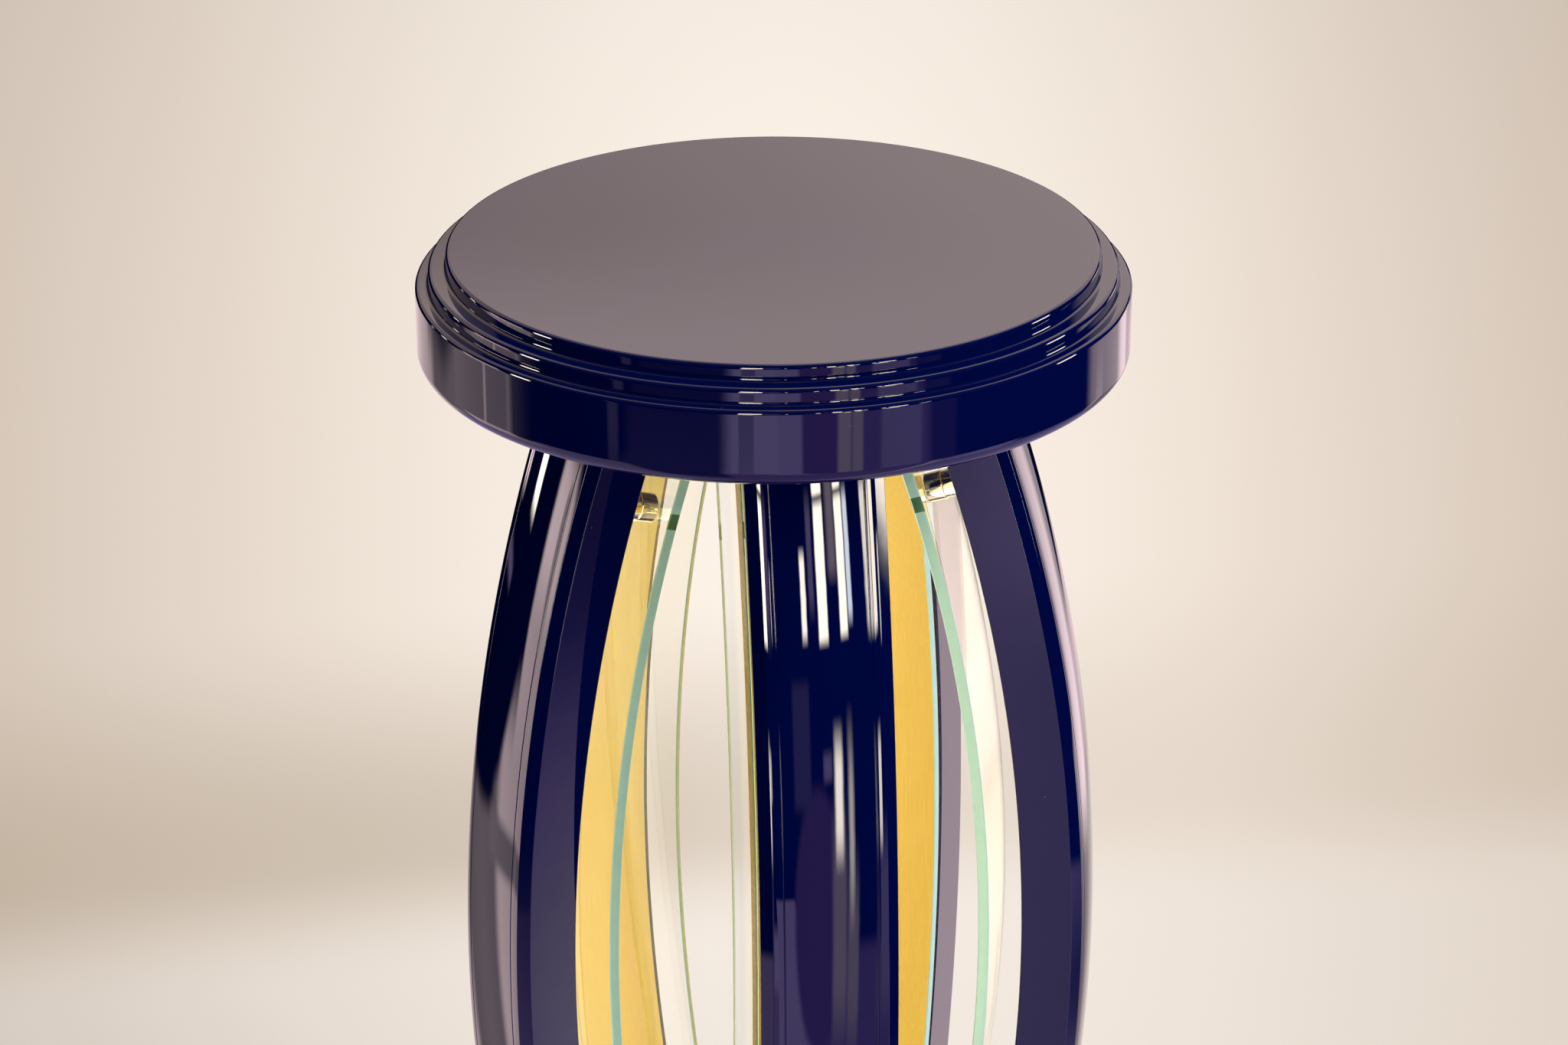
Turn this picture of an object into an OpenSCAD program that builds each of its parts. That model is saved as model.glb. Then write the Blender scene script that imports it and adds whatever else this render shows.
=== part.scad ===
// Drum stool with a stepped seat, five bowed legs, gold inner facings and bent glass strips.
// Millimetres. +Z is up. The origin is the centre of the stool at floor level.
// Leg 1 stands at the front (-Y) and the others follow every 72 degrees towards +X.

/* [Overall] */
// Diameter of the seat, and of the base that mirrors it
seat_d = 380; // [360:1:420]
// Height from the floor to the flat of the seat
stool_h = 770; // [740:2:790]
// Thickness of the felt pads under the base
pad_h = 3; // [2:0.5:5]

/* [Seat and base] */
// Full thickness of the seat, steps included
drum_h = 60.5; // [56:0.5:70]
// Height of each step
step_h = 9; // [7:0.5:10]
// Tread of the lower step
tread_low = 7; // [6:0.5:9]
// Tread of the upper step
tread_high = 9.5; // [7:0.5:12]
// Rounding of the step edges
edge_r = 2.3; // [1.5:0.1:3]
// Hollow between a tread and its riser
cove_r = 1.8; // [1:0.1:2.4]
// Rounding of the edge that faces the legs
under_r = 8.5; // [5:0.5:12]

/* [Legs] */
// Width across a leg
leg_w = 74; // [66:1:80]
// Depth of the flat side of a leg
side_d = 27.5; // [25:0.5:32]
// Radius of the bow, at the inner face of a leg
bow_r = 900; // [850:10:1000]
// Distance from the axis to the inner face at mid-height
belly_in = 141; // [136:1:146]
// Width of the corner chamfer across the leg
chamfer_w = 6; // [4:0.5:8]
// Rise of the corner chamfer
chamfer_h = 5; // [4:0.5:6]
// Width of the narrow strip between chamfer and crown
strip_w = 6; // [5:0.5:8]
// Rise across the narrow strip
strip_rise = 1; // [0.6:0.1:1.4]
// Radius of the strip's convex face
strip_r = 36; // [24:1:60]
// Rise of the crown at the leg's centre line
crown_rise = 1.6; // [1:0.1:2.5]
// Radius of the quirk line between strip and crown
quirk_r = 0.5; // [0.3:0.1:0.8]
// Small bevel on the long edges of a leg
arris = 0.9; // [0.4:0.1:1.2]

/* [Gold facing] */
// Depth of the recess that takes the facing
facing_t = 1.5; // [1:0.1:2]
// Lacquered lip left beside the facing
lip_w = 2.5; // [2:0.1:4]
// Play between the facing's edge and its lip
facing_play = 0.1; // [0.05:0.05:0.2]
// Thickness of the glue behind the facing
glue_line = 0.15; // [0.1:0.05:0.2]

/* [Glass] */
// Distance from the gold face to the glass
glass_gap = 17; // [15:0.5:20]
// Thickness of the glass
glass_t = 6; // [5:0.5:8]
// Width of a glass strip
glass_w = 87; // [80:1:92]
// Distance from the end of the glass to the seat and to the base
glass_end_gap = 8; // [5:1:15]
// Ground bevel on the glass edges
glass_arris = 0.6; // [0.3:0.1:1]
// Diameter of the holes drilled in the glass
glass_hole_d = 8; // [7.4:0.2:9]

/* [Standoffs] */
// Diameter of a standoff barrel
barrel_d = 16; // [14:0.5:18]
// Diameter of a standoff collar
collar_d = 15; // [12:0.5:16]
// Length of a standoff collar
collar_l = 7; // [5:0.5:8]
// Distance between the two standoffs of a pair
pair_pitch = 46; // [40:1:50]
// Distance from the seat or base to a pair of standoffs
pair_drop = 60; // [50:1:75]
// Play between stacked pieces of a standoff
stack_play = 0.1; // [0.05:0.05:0.15]
// Diameter of the glass screws
screw_d = 4; // [3.5:0.1:4.2]
// Length of the glass screws
screw_l = 40; // [36:1:44]
// Play around a glass screw, on the radius
screw_play = 0.15; // [0.1:0.05:0.2]
// Play between a bush and its hole, on the radius
bush_play = 0.1; // [0.05:0.05:0.2]

/* [Joints] */
// Diameter of the dowels
dowel_d = 10; // [8:0.5:12]
// Depth of a dowel in each piece
dowel_depth = 18; // [14:1:22]
// Play around a dowel, on the radius
dowel_play = 0.1; // [0.05:0.05:0.15]
// Distance between the two dowels at a leg end
dowel_pitch = 40; // [34:1:44]
// Distance from the axis to dowels and bolts
joint_r = 101; // [100:0.5:103]
// Diameter of the base bolts
bolt_d = 8; // [6:0.5:8]
// Depth of the counterbores in the base
counterbore_h = 32; // [28:1:36]
// Play around a bolt or insert, on the radius
bolt_play = 0.2; // [0.1:0.05:0.25]
// Diameter of the floor pads
pad_d = 34; // [28:1:38]
// Distance from the axis to a floor pad
pad_ring_r = 148; // [140:1:150]

/* [Hidden] */
$fn = 120;
legs = 5;
eps = 0.01;
r_out = seat_d / 2;
r_mid = r_out - tread_low;
r_top = r_mid - tread_high;
under_z = stool_h - drum_h;
over_z = pad_h + drum_h;
mid_z = (under_z + over_z) / 2;
half_h = (under_z - over_z) / 2;
bow_x = belly_in - bow_r;
sweep = asin((half_h + 14) / bow_r);
bed_y = leg_w / 2 - chamfer_w;
quirk_y = bed_y - strip_w;
crown_r = (quirk_y * quirk_y + crown_rise * crown_rise) / (2 * crown_rise);
top_x = chamfer_h + strip_rise + crown_rise;
glass_out = bow_r - glass_gap;
glass_in = glass_out - glass_t;
glass_sweep = asin((half_h - glass_end_gap) / glass_out);
pair_angle = asin((half_h - pair_drop) / bow_r);
head_d = screw_d + 2.6;
head_h = 1.3;
insert_d = bolt_d + 4;
insert_l = 18;
bolt_head_d = bolt_d * 1.6;
bolt_head_h = bolt_d * 0.9;
washer_d = bolt_d * 2;
washer_h = 1.6;
counterbore_d = washer_d + 3;
lacquer = [0.03, 0.025, 0.13];
gold = [0.93, 0.75, 0.38];
glass = [0.75, 0.92, 0.86, 0.4];
steel = [0.82, 0.82, 0.8];
beech = [0.78, 0.62, 0.42];
felt = [0.12, 0.12, 0.13];

// A solid step of the turned profile with a rounded upper edge
module round_step(r, low, high) {
    translate([0, low]) square([r, high - edge_r - low]);
    translate([0, low]) square([r - edge_r, high - low]);
    translate([r - edge_r, high - edge_r]) circle(edge_r);
}

// Hollow fillet in the corner between a tread and its riser
module cove(r, z) {
    difference() {
        translate([r - eps, z - eps]) square([cove_r + eps, cove_r + eps]);
        translate([r + cove_r, z + cove_r]) circle(cove_r);
    }
}

// Half section of the drum, lying with its large rounded edge at z = 0
module drum_profile() {
    low = drum_h - 2 * step_h;
    mid = drum_h - step_h;
    intersection() {
        union() {
            translate([0, under_r]) square([r_out, low - edge_r - under_r]);
            square([r_out - under_r, under_r + eps]);
            translate([r_out - under_r, under_r]) circle(under_r);
            translate([0, low - edge_r - eps]) square([r_out - edge_r, edge_r + eps]);
            translate([r_out - edge_r, low - edge_r]) circle(edge_r);
            round_step(r_mid, low - eps, mid);
            round_step(r_top, mid - eps, drum_h);
            cove(r_mid, low);
            cove(r_top, mid);
        }
        square([r_out + 1, drum_h]);
    }
}

module drum() {
    rotate_extrude() drum_profile();
}

// Turns the local frame (X outwards, Y across the leg) to leg number i
module at_leg(i) {
    rotate([0, 0, 360 / legs * i - 90]) children();
}

// Sweeps a section (x from the bow's centre, y across the leg) up and down from mid-height
module bowed(angle) {
    translate([bow_x, 0, mid_z])
        rotate([90, 0, 0])
            rotate([0, 0, -angle])
                rotate_extrude(angle = 2 * angle) children();
}

// The height between base and seat
module between() {
    translate([belly_in - 120, -leg_w, over_z]) cube([200, 2 * leg_w, under_z - over_z]);
}

// Local frame of a standoff: X along its axis, away from the glass, measured from the bow's centre
module at_standoff(level, side) {
    translate([bow_x, 0, mid_z])
        rotate([0, -level * pair_angle, 0])
            translate([0, side * pair_pitch / 2, 0]) children();
}

module each_standoff() {
    for (level = [-1, 1])
        for (side = [-1, 1])
            at_standoff(level, side) children();
}

// A round piece along the standoff's axis between two distances from the bow's centre
module along(d, near, far) {
    translate([near, 0, 0]) rotate([0, 90, 0]) cylinder(d = d, h = far - near);
}

// What is planed away above the narrow convex strip, on one side of the leg
module strip_cut(side) {
    chord = sqrt(strip_rise * strip_rise + strip_w * strip_w);
    back = sqrt(strip_r * strip_r - chord * chord / 4);
    cx = chamfer_h + strip_rise / 2 - back * strip_w / chord;
    cy = (bed_y + quirk_y) / 2 - back * strip_rise / chord;
    difference() {
        translate([chamfer_h - 2, side > 0 ? quirk_y : -bed_y - 1])
            square([top_x + 4 - chamfer_h, strip_w + 1]);
        translate([cx, side * cy]) circle(strip_r);
    }
}

// What is planed away above the broad convex crown
module crown_cut() {
    difference() {
        translate([chamfer_h - 1, -quirk_y]) square([top_x + 3 - chamfer_h, 2 * quirk_y]);
        translate([top_x - crown_r, 0]) circle(crown_r);
    }
}

// Section of a leg: flat sides, chamfers, strips, quirks and crown, and the recess for its facing
module leg_section() {
    half = leg_w / 2;
    translate([bow_r, 0])
        difference() {
            polygon([[0, arris - half], [arris, -half], [side_d, -half], [side_d + chamfer_h, -bed_y],
                     [side_d + top_x + 1, -bed_y], [side_d + top_x + 1, bed_y],
                     [side_d + chamfer_h, bed_y], [side_d, half], [arris, half], [0, half - arris]]);
            translate([-1, lip_w - half]) square([facing_t + 1, leg_w - 2 * lip_w]);
            translate([side_d, 0]) {
                crown_cut();
                strip_cut(1);
                strip_cut(-1);
                for (side = [-1, 1])
                    translate([chamfer_h + strip_rise + quirk_r * 0.3, side * quirk_y])
                        circle(quirk_r);
            }
        }
}

module leg_solid() {
    difference() {
        intersection() {
            bowed(sweep) leg_section();
            between();
        }
        each_standoff()
            along(screw_d + 2 * screw_play, glass_in + 10, glass_in + screw_l + 1);
        for (side = [-1, 1])
            for (z = [over_z, under_z])
                translate([joint_r, side * dowel_pitch / 2, z])
                    cylinder(d = dowel_d + 2 * dowel_play, h = 2 * dowel_depth, center = true);
        translate([joint_r, 0, over_z - 1])
            cylinder(d = insert_d + 2 * bolt_play, h = insert_l + 1 + bolt_play);
    }
}

module facing_solid() {
    width = leg_w - 2 * lip_w - 2 * facing_play;
    difference() {
        intersection() {
            bowed(sweep) translate([bow_r, -width / 2]) square([facing_t - glue_line, width]);
            between();
        }
        each_standoff()
            along(screw_d + 2 * screw_play, glass_in + 10, bow_r + 5);
    }
}

module glass_solid() {
    half = glass_w / 2;
    b = glass_arris;
    difference() {
        bowed(glass_sweep)
            polygon([[glass_in, b - half], [glass_in + b, -half], [glass_out - b, -half],
                     [glass_out, b - half], [glass_out, half - b], [glass_out - b, half],
                     [glass_in + b, half], [glass_in, half - b]]);
        each_standoff() along(glass_hole_d, glass_in - 3, glass_out + 3);
    }
}

// Polished standoff pieces are turned, with a fine bevel at each end
module turned(d, bore, near, far, bevel) {
    translate([near, 0, 0])
        rotate([0, 90, 0])
            rotate_extrude()
                polygon([[bore / 2, 0], [d / 2 - bevel, 0], [d / 2, bevel],
                         [d / 2, far - near - bevel], [d / 2 - bevel, far - near],
                         [bore / 2, far - near]]);
}

module barrel() {
    turned(barrel_d, screw_d + 2 * screw_play, glass_out + stack_play, bow_r - collar_l, 0.6);
}

module collar() {
    turned(collar_d, screw_d + 2 * screw_play, bow_r - collar_l + eps, bow_r - stack_play, 0.4);
}

module glass_screw() {
    translate([glass_in, 0, 0])
        rotate([0, 90, 0])
            rotate_extrude()
                polygon([[0, stack_play], [head_d / 2, stack_play], [screw_d / 2, head_h + stack_play],
                         [screw_d / 2, screw_l - 3], [0.4, screw_l], [0, screw_l]]);
}

module glass_bush() {
    hole = screw_d / 2 + screw_play;
    rim = head_d / 2 + screw_play;
    outer = glass_hole_d / 2 - bush_play;
    translate([glass_in, 0, 0])
        rotate([0, 90, 0])
            rotate_extrude()
                polygon([[rim, 0], [outer, 0], [outer, glass_t], [hole, glass_t],
                         [hole, head_h + stack_play]]);
}

module seat_top() {
    color(lacquer) translate([0, 0, under_z])
        difference() {
            drum();
            for (i = [0 : legs - 1])
                for (side = [-1, 1])
                    at_leg(i) translate([joint_r, side * dowel_pitch / 2, -1])
                        cylinder(d = dowel_d + 2 * dowel_play, h = dowel_depth + 1);
        }
}

module base_plinth() {
    color(lacquer) difference() {
        translate([0, 0, over_z]) mirror([0, 0, 1]) drum();
        for (i = [0 : legs - 1])
            at_leg(i) {
                for (side = [-1, 1])
                    translate([joint_r, side * dowel_pitch / 2, over_z - dowel_depth])
                        cylinder(d = dowel_d + 2 * dowel_play, h = dowel_depth + 1);
                translate([joint_r, 0, 0])
                    cylinder(d = bolt_d + 2 * bolt_play, h = over_z + 1);
                translate([joint_r, 0, 0])
                    cylinder(d = counterbore_d, h = pad_h + counterbore_h);
            }
    }
}

module leg_1() {
    color(lacquer) at_leg(0) leg_solid();
}

module leg_2() {
    color(lacquer) at_leg(1) leg_solid();
}

module leg_3() {
    color(lacquer) at_leg(2) leg_solid();
}

module leg_4() {
    color(lacquer) at_leg(3) leg_solid();
}

module leg_5() {
    color(lacquer) at_leg(4) leg_solid();
}

module gold_facing_1() {
    color(gold) at_leg(0) facing_solid();
}

module gold_facing_2() {
    color(gold) at_leg(1) facing_solid();
}

module gold_facing_3() {
    color(gold) at_leg(2) facing_solid();
}

module gold_facing_4() {
    color(gold) at_leg(3) facing_solid();
}

module gold_facing_5() {
    color(gold) at_leg(4) facing_solid();
}

module glass_strip_1() {
    color(glass) at_leg(0) glass_solid();
}

module glass_strip_2() {
    color(glass) at_leg(1) glass_solid();
}

module glass_strip_3() {
    color(glass) at_leg(2) glass_solid();
}

module glass_strip_4() {
    color(glass) at_leg(3) glass_solid();
}

module glass_strip_5() {
    color(glass) at_leg(4) glass_solid();
}

module standoff_barrels() {
    color(steel) for (i = [0 : legs - 1])
        at_leg(i) each_standoff() barrel();
}

module standoff_collars() {
    color(steel) for (i = [0 : legs - 1])
        at_leg(i) each_standoff() collar();
}

module glass_screws() {
    color(steel) for (i = [0 : legs - 1])
        at_leg(i) each_standoff() glass_screw();
}

module glass_bushes() {
    color(glass) for (i = [0 : legs - 1])
        at_leg(i) each_standoff() glass_bush();
}

module dowels() {
    color(beech) for (i = [0 : legs - 1])
        for (side = [-1, 1])
            for (z = [over_z, under_z])
                at_leg(i) translate([joint_r, side * dowel_pitch / 2, z])
                    cylinder(d = dowel_d, h = 2 * dowel_depth - 0.4, center = true);
}

module leg_inserts() {
    color(steel) for (i = [0 : legs - 1])
        at_leg(i) translate([joint_r, 0, over_z])
            difference() {
                cylinder(d = insert_d, h = insert_l);
                translate([0, 0, -1]) cylinder(d = bolt_d + 2 * bolt_play, h = insert_l + 2);
            }
}

module base_bolts() {
    low = pad_h + counterbore_h - washer_h - stack_play;
    color(steel) for (i = [0 : legs - 1])
        at_leg(i) translate([joint_r, 0, low])
            difference() {
                union() {
                    translate([0, 0, -bolt_head_h]) cylinder(d = bolt_head_d, h = bolt_head_h);
                    translate([0, 0, -eps])
                        cylinder(d = bolt_d, h = over_z + insert_l - 1 - low);
                }
                translate([0, 0, -bolt_head_h - 1])
                    cylinder(d = bolt_d * 0.85, h = bolt_head_h * 0.55 + 1, $fn = 6);
            }
}

module bolt_washers() {
    low = pad_h + counterbore_h - washer_h;
    color(steel) for (i = [0 : legs - 1])
        at_leg(i) translate([joint_r, 0, low])
            difference() {
                cylinder(d = washer_d, h = washer_h);
                translate([0, 0, -1]) cylinder(d = bolt_d + 2 * bolt_play, h = washer_h + 2);
            }
}

module floor_pads() {
    color(felt) for (i = [0 : legs - 1])
        at_leg(i) translate([pad_ring_r, 0, 0]) cylinder(d = pad_d, h = pad_h);
}

seat_top();
leg_1();
leg_2();
leg_3();
leg_4();
leg_5();
gold_facing_1();
gold_facing_2();
gold_facing_3();
gold_facing_4();
gold_facing_5();
glass_strip_1();
glass_strip_2();
glass_strip_3();
glass_strip_4();
glass_strip_5();
standoff_barrels();
standoff_collars();
glass_screws();
glass_bushes();
base_plinth();
dowels();
leg_inserts();
base_bolts();
bolt_washers();
floor_pads();
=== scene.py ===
# %% [markdown]
# # A tall drum stool with bowed, moulded legs
# The stool is a turned, stepped seat and a matching base, held apart by five bowed legs. Each leg has a
# gold facing on its inner side and, hung off that, a strip of bent glass. The CAD model already fixes
# every size and place. This script gives it its surfaces: deep gloss lacquer, satin gold, clear glass and
# polished metal. We start by loading that frame and measuring it, so that later sizes come from it.

# %% The frame
import math
import bpy
import bmesh
from mathutils import Matrix, Vector


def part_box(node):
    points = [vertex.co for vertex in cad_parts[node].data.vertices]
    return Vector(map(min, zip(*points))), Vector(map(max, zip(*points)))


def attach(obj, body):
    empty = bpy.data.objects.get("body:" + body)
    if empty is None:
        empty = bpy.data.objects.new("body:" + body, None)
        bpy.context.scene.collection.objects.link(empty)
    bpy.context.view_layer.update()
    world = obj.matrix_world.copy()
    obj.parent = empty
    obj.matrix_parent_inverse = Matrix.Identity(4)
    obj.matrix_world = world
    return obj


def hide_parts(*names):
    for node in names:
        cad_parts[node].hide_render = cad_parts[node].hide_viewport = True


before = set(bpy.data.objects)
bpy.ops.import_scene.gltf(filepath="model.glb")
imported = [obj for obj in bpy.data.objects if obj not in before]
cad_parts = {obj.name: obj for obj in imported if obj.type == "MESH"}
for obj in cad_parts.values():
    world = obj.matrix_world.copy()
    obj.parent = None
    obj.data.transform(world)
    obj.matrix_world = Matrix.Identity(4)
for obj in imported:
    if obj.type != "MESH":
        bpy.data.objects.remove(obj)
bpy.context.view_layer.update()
scene = bpy.context.scene

# %% [markdown]
# ## Sizes
# Sizes are kept in millimetres, as a maker would write them, and turned to metres only when a mesh is made.
# Whatever a box of the frame can tell is read from it. The bow and the mouldings of a leg can't be read
# from a box, so they are named here.

# %% Driving sizes
MM = 0.001
LEGS = 5
seat_low, seat_high = (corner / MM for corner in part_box("seat_top"))
base_low, base_high = (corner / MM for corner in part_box("base_plinth"))
leg_low, leg_high = (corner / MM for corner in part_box("leg_1"))
glass_low, glass_high = (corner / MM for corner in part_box("glass_strip_1"))
DRUM_RADIUS = seat_high.x
DRUM_HEIGHT = seat_high.z - seat_low.z
MIDDLE = (seat_low.z + base_high.z) / 2
LEG_HEIGHT = seat_low.z - base_high.z
LEG_WIDTH = leg_high.x - leg_low.x
GLASS_WIDTH = glass_high.x - glass_low.x
# The inner face of a leg is bowed to this radius, and at mid-height it is this far from the stool's axis
BOW_RADIUS, INNER_FACE = 900, 141
BOW_CENTRE = INNER_FACE - BOW_RADIUS
print("drum", round(2 * DRUM_RADIUS), "x", round(DRUM_HEIGHT, 1), "mm; leg", round(LEG_WIDTH), "mm wide and",
      round(LEG_HEIGHT), "mm high; glass", round(GLASS_WIDTH), "mm wide")

# %% [markdown]
# ## Small helpers
# Colours are written as the sRGB hex values that a colour picker shows, and one function turns them to the
# linear values that Blender mixes. One more function adds a node with its settings and its links, and it
# serves materials and geometry alike.

# %% Helpers for colours and nodes
def linear(code):
    """The linear colour of an sRGB hex value."""
    channels = [int(code[i:i + 2], 16) / 255 for i in (1, 3, 5)]
    return [c / 12.92 if c <= 0.04045 else ((c + 0.055) / 1.055) ** 2.4 for c in channels] + [1.0]


def feed(tree, node, inputs):
    """Links each input of a node to a socket or to another node's first output, or sets it to a value."""
    for name, value in inputs.items():
        if isinstance(value, bpy.types.Node):
            tree.links.new(value.outputs[0], node.inputs[name])
        elif isinstance(value, bpy.types.NodeSocket):
            tree.links.new(value, node.inputs[name])
        else:
            node.inputs[name].default_value = value


def add_node(tree, kind, inputs=None, **settings):
    """A new node with its settings, and with its inputs fed."""
    node = tree.nodes.new(kind)
    for name, value in settings.items():
        setattr(node, name, value)
    feed(tree, node, inputs or {})
    return node


def new_material(name):
    """A material with its node tree, its Principled shader and the place on the piece, in metres."""
    material = bpy.data.materials.new(name)
    material.use_nodes = True
    tree = material.node_tree
    place = add_node(tree, "ShaderNodeTexCoord").outputs["Object"]
    return material, tree, tree.nodes["Principled BSDF"], place


print("helpers ready; mid grey is", round(linear("#808080")[0], 3))

# %% [markdown]
# ## Lacquer
# The wood is sprayed with polyester lacquer, sanded and buffed until it mirrors the room. The eye sees
# almost nothing of its own colour, a blue-violet near black, and reads the shape from the reflections. So
# the shader is a dark base under a sharp, strong reflection. Sprayed lacquer keeps a very slight orange
# peel and a few dust specks, and both save it from looking like black plastic in a drawing.

# %% Gloss lacquer
def gloss_lacquer():
    """Polyester lacquer, sprayed and buffed: dark, clear depth with a faint ripple."""
    material, tree, shader, place = new_material("gloss_lacquer")
    depth = add_node(tree, "ShaderNodeTexNoise", {"Vector": place, "Scale": 1 / (90 * MM), "Detail": 2.0})
    body = add_node(tree, "ShaderNodeMix", {0: depth, 6: linear("#000637"), 7: linear("#000945")},
                    data_type="RGBA")
    # Dust specks are finer than a pixel, so they are drawn half a millimetre wide, about 22 mm apart
    speck_pitch, speck_radius = 22, 0.242
    specks = add_node(tree, "ShaderNodeTexVoronoi", {"Vector": place, "Scale": 1 / (speck_pitch * MM)})
    speck = add_node(tree, "ShaderNodeMath", {0: specks.outputs["Distance"], 1: speck_radius / speck_pitch},
                     operation="LESS_THAN")
    dusty = add_node(tree, "ShaderNodeMix", {0: speck, 6: body.outputs[2], 7: linear("#8d8aa0")},
                     data_type="RGBA")
    # Real orange peel is a few millimetres wide, and it is drawn 26 mm wide so that its ripple shows
    peel = add_node(tree, "ShaderNodeTexNoise", {"Vector": place, "Scale": 1 / (26 * MM), "Detail": 2.0})
    ripple = add_node(tree, "ShaderNodeBump", {"Height": peel, "Distance": 0.08 * MM, "Strength": 0.22})
    feed(tree, shader, {"Base Color": dusty.outputs[2], "Normal": ripple, "Roughness": 0.002, "IOR": 1.6})
    return material


LACQUER = gloss_lacquer()
print("made", LACQUER.name)

# %% [markdown]
# ## Gold facing
# The inner faces are thin sheet with a satin gold finish, such as anodised or lacquered brass. Fine
# brushing along the leg spreads every reflection into a soft glow, so the face reads as an even, warm
# gold that turns darker where it looks at dark things. Brush lines are finer than a pixel here, so they
# are drawn 0.8 mm apart and very long.

# %% Satin gold
def satin_gold():
    """Brushed and lacquered gold-coloured sheet: metal colour with a wide, soft reflection."""
    material, tree, shader, place = new_material("satin_gold_sheet")
    drawn = add_node(tree, "ShaderNodeMapping", {"Vector": place, "Scale": (1.0, 1.0, 0.02)})
    brush = add_node(tree, "ShaderNodeTexNoise", {"Vector": drawn, "Scale": 1 / (0.8 * MM), "Detail": 3.0})
    cloud = add_node(tree, "ShaderNodeTexNoise", {"Vector": place, "Scale": 1 / (45 * MM), "Detail": 3.0})
    tone = add_node(tree, "ShaderNodeMix", {0: cloud, 6: linear("#f7d87c"), 7: linear("#fce28c")},
                    data_type="RGBA")
    line = add_node(tree, "ShaderNodeMix", {0: brush, 6: linear("#eac768"), 7: tone.outputs[2]},
                    data_type="RGBA")
    satin = add_node(tree, "ShaderNodeMapRange", {"Value": brush, "To Min": 0.34, "To Max": 0.46})
    scratch = add_node(tree, "ShaderNodeBump", {"Height": brush, "Distance": 0.02 * MM, "Strength": 0.3})
    feed(tree, shader, {"Base Color": line.outputs[2], "Roughness": satin,
                        "Normal": scratch, "Metallic": 1.0})
    return material


GOLD = satin_gold()
print("made", GOLD.name)

# %% [markdown]
# ## Glass
# Float glass is clear through its faces and green along its edges, because iron in it tints the long way
# through. The faces and the ground, polished edges are given two materials: the faces are clean and
# colourless, and the edges carry the green and are a little frosted, so that they glow along their length.

# %% Clear glass and its edges
FLOAT_GLASS_IOR = 1.52


def grained(name, size, detail, tones, inputs, stretch=None, distortion=0.0, haze=None, relief=None):
    """A finish whose tone follows one noise, and if asked its roughness and relief too. Sizes are in mm."""
    material, tree, shader, place = new_material(name)
    if stretch:
        place = add_node(tree, "ShaderNodeMapping", {"Vector": place, "Scale": (1.0, 1.0, stretch)})
    noise = add_node(tree, "ShaderNodeTexNoise", {"Vector": place, "Scale": 1 / (size * MM), "Detail": detail,
                                                  "Distortion": distortion})
    tone = add_node(tree, "ShaderNodeMix",
                    {0: noise, 6: linear(tones[0]), 7: linear(tones[1])}, data_type="RGBA")
    feed(tree, shader, inputs | {"Base Color": tone.outputs[2]})
    if haze:
        rough = add_node(tree, "ShaderNodeMapRange", {"Value": noise, "To Min": haze[0], "To Max": haze[1]})
        feed(tree, shader, {"Roughness": rough})
    if relief:
        bump = add_node(tree, "ShaderNodeBump",
                        {"Height": noise, "Distance": relief[0] * MM, "Strength": relief[1]})
        feed(tree, shader, {"Normal": bump})
    return material


def glass_edge():
    """Ground and polished glass edge: pale green, glowing with the light that the pane carries, and given
    painted shade beside each hole.
    """
    material, tree, shader, place = new_material("polished_glass_edge")
    grind = add_node(tree, "ShaderNodeTexNoise", {"Vector": place, "Scale": 1 / (9 * MM), "Detail": 4.0})
    green = add_node(tree, "ShaderNodeMix", {0: grind, 6: linear("#b5efda"), 7: linear("#ccf7e9")},
                     data_type="RGBA")
    # Beside a drilled hole the edge is painted dark green, as painted shade for the dark hole seen through
    # it. The pane marks those faces with 2.
    marks = add_node(tree, "ShaderNodeAttribute", attribute_name="ground_edge")
    beside = add_node(tree, "ShaderNodeMath", {0: marks.outputs["Fac"], 1: 1.5}, operation="GREATER_THAN")
    shown = add_node(tree, "ShaderNodeMix", {0: beside, 6: green.outputs[2], 7: linear("#2f6b45")},
                     data_type="RGBA")
    frost = add_node(tree, "ShaderNodeMapRange", {"Value": grind, "To Min": 0.12, "To Max": 0.3})
    feed(tree, shader, {"Base Color": shown.outputs[2], "Roughness": frost,
                        "Transmission Weight": 0.25, "IOR": FLOAT_GLASS_IOR})
    return material


# Float glass seen through its faces is colourless, with the faintest waviness from the kiln
CLEAR_GLASS = grained("clear_float_glass", 70, 1.0, ("#fbfffc", "#ffffff"),
                      {"Transmission Weight": 1.0, "Roughness": 0.0, "IOR": FLOAT_GLASS_IOR},
                      relief=(0.2, 0.1))
GLASS_EDGE = glass_edge()
print("made", CLEAR_GLASS.name, "and", GLASS_EDGE.name)

# %% [markdown]
# ## Metals, plastic, wood and felt
# The standoffs are turned brass, plated and polished, so they mirror the gold and the lacquer round them.
# Screws, bolts and inserts are zinc-plated steel, duller and a little blue. The sleeves in the glass are
# clear nylon, the dowels beech, and the pads pressed wool felt. None of these is seen from near, so the
# function that made the clear glass serves them too: one noise, at the real size of the pattern, for each.

# %% Hardware finishes
# Nickel plating on turned brass is a warm, bright mirror with a faint, uneven haze
PLATING = grained("polished_nickel_plating", 6, 3.0, ("#dbd0b6", "#ebe3cf"), {"Metallic": 1.0},
                  haze=(0.06, 0.14))
# Zinc plating on steel is a soft grey metal with the patchy bloom of the plating bath
STEEL = grained("zinc_plated_steel", 3, 4.0, ("#a2a6aa", "#c6c9c8"), {"Metallic": 1.0}, haze=(0.28, 0.45))
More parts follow.
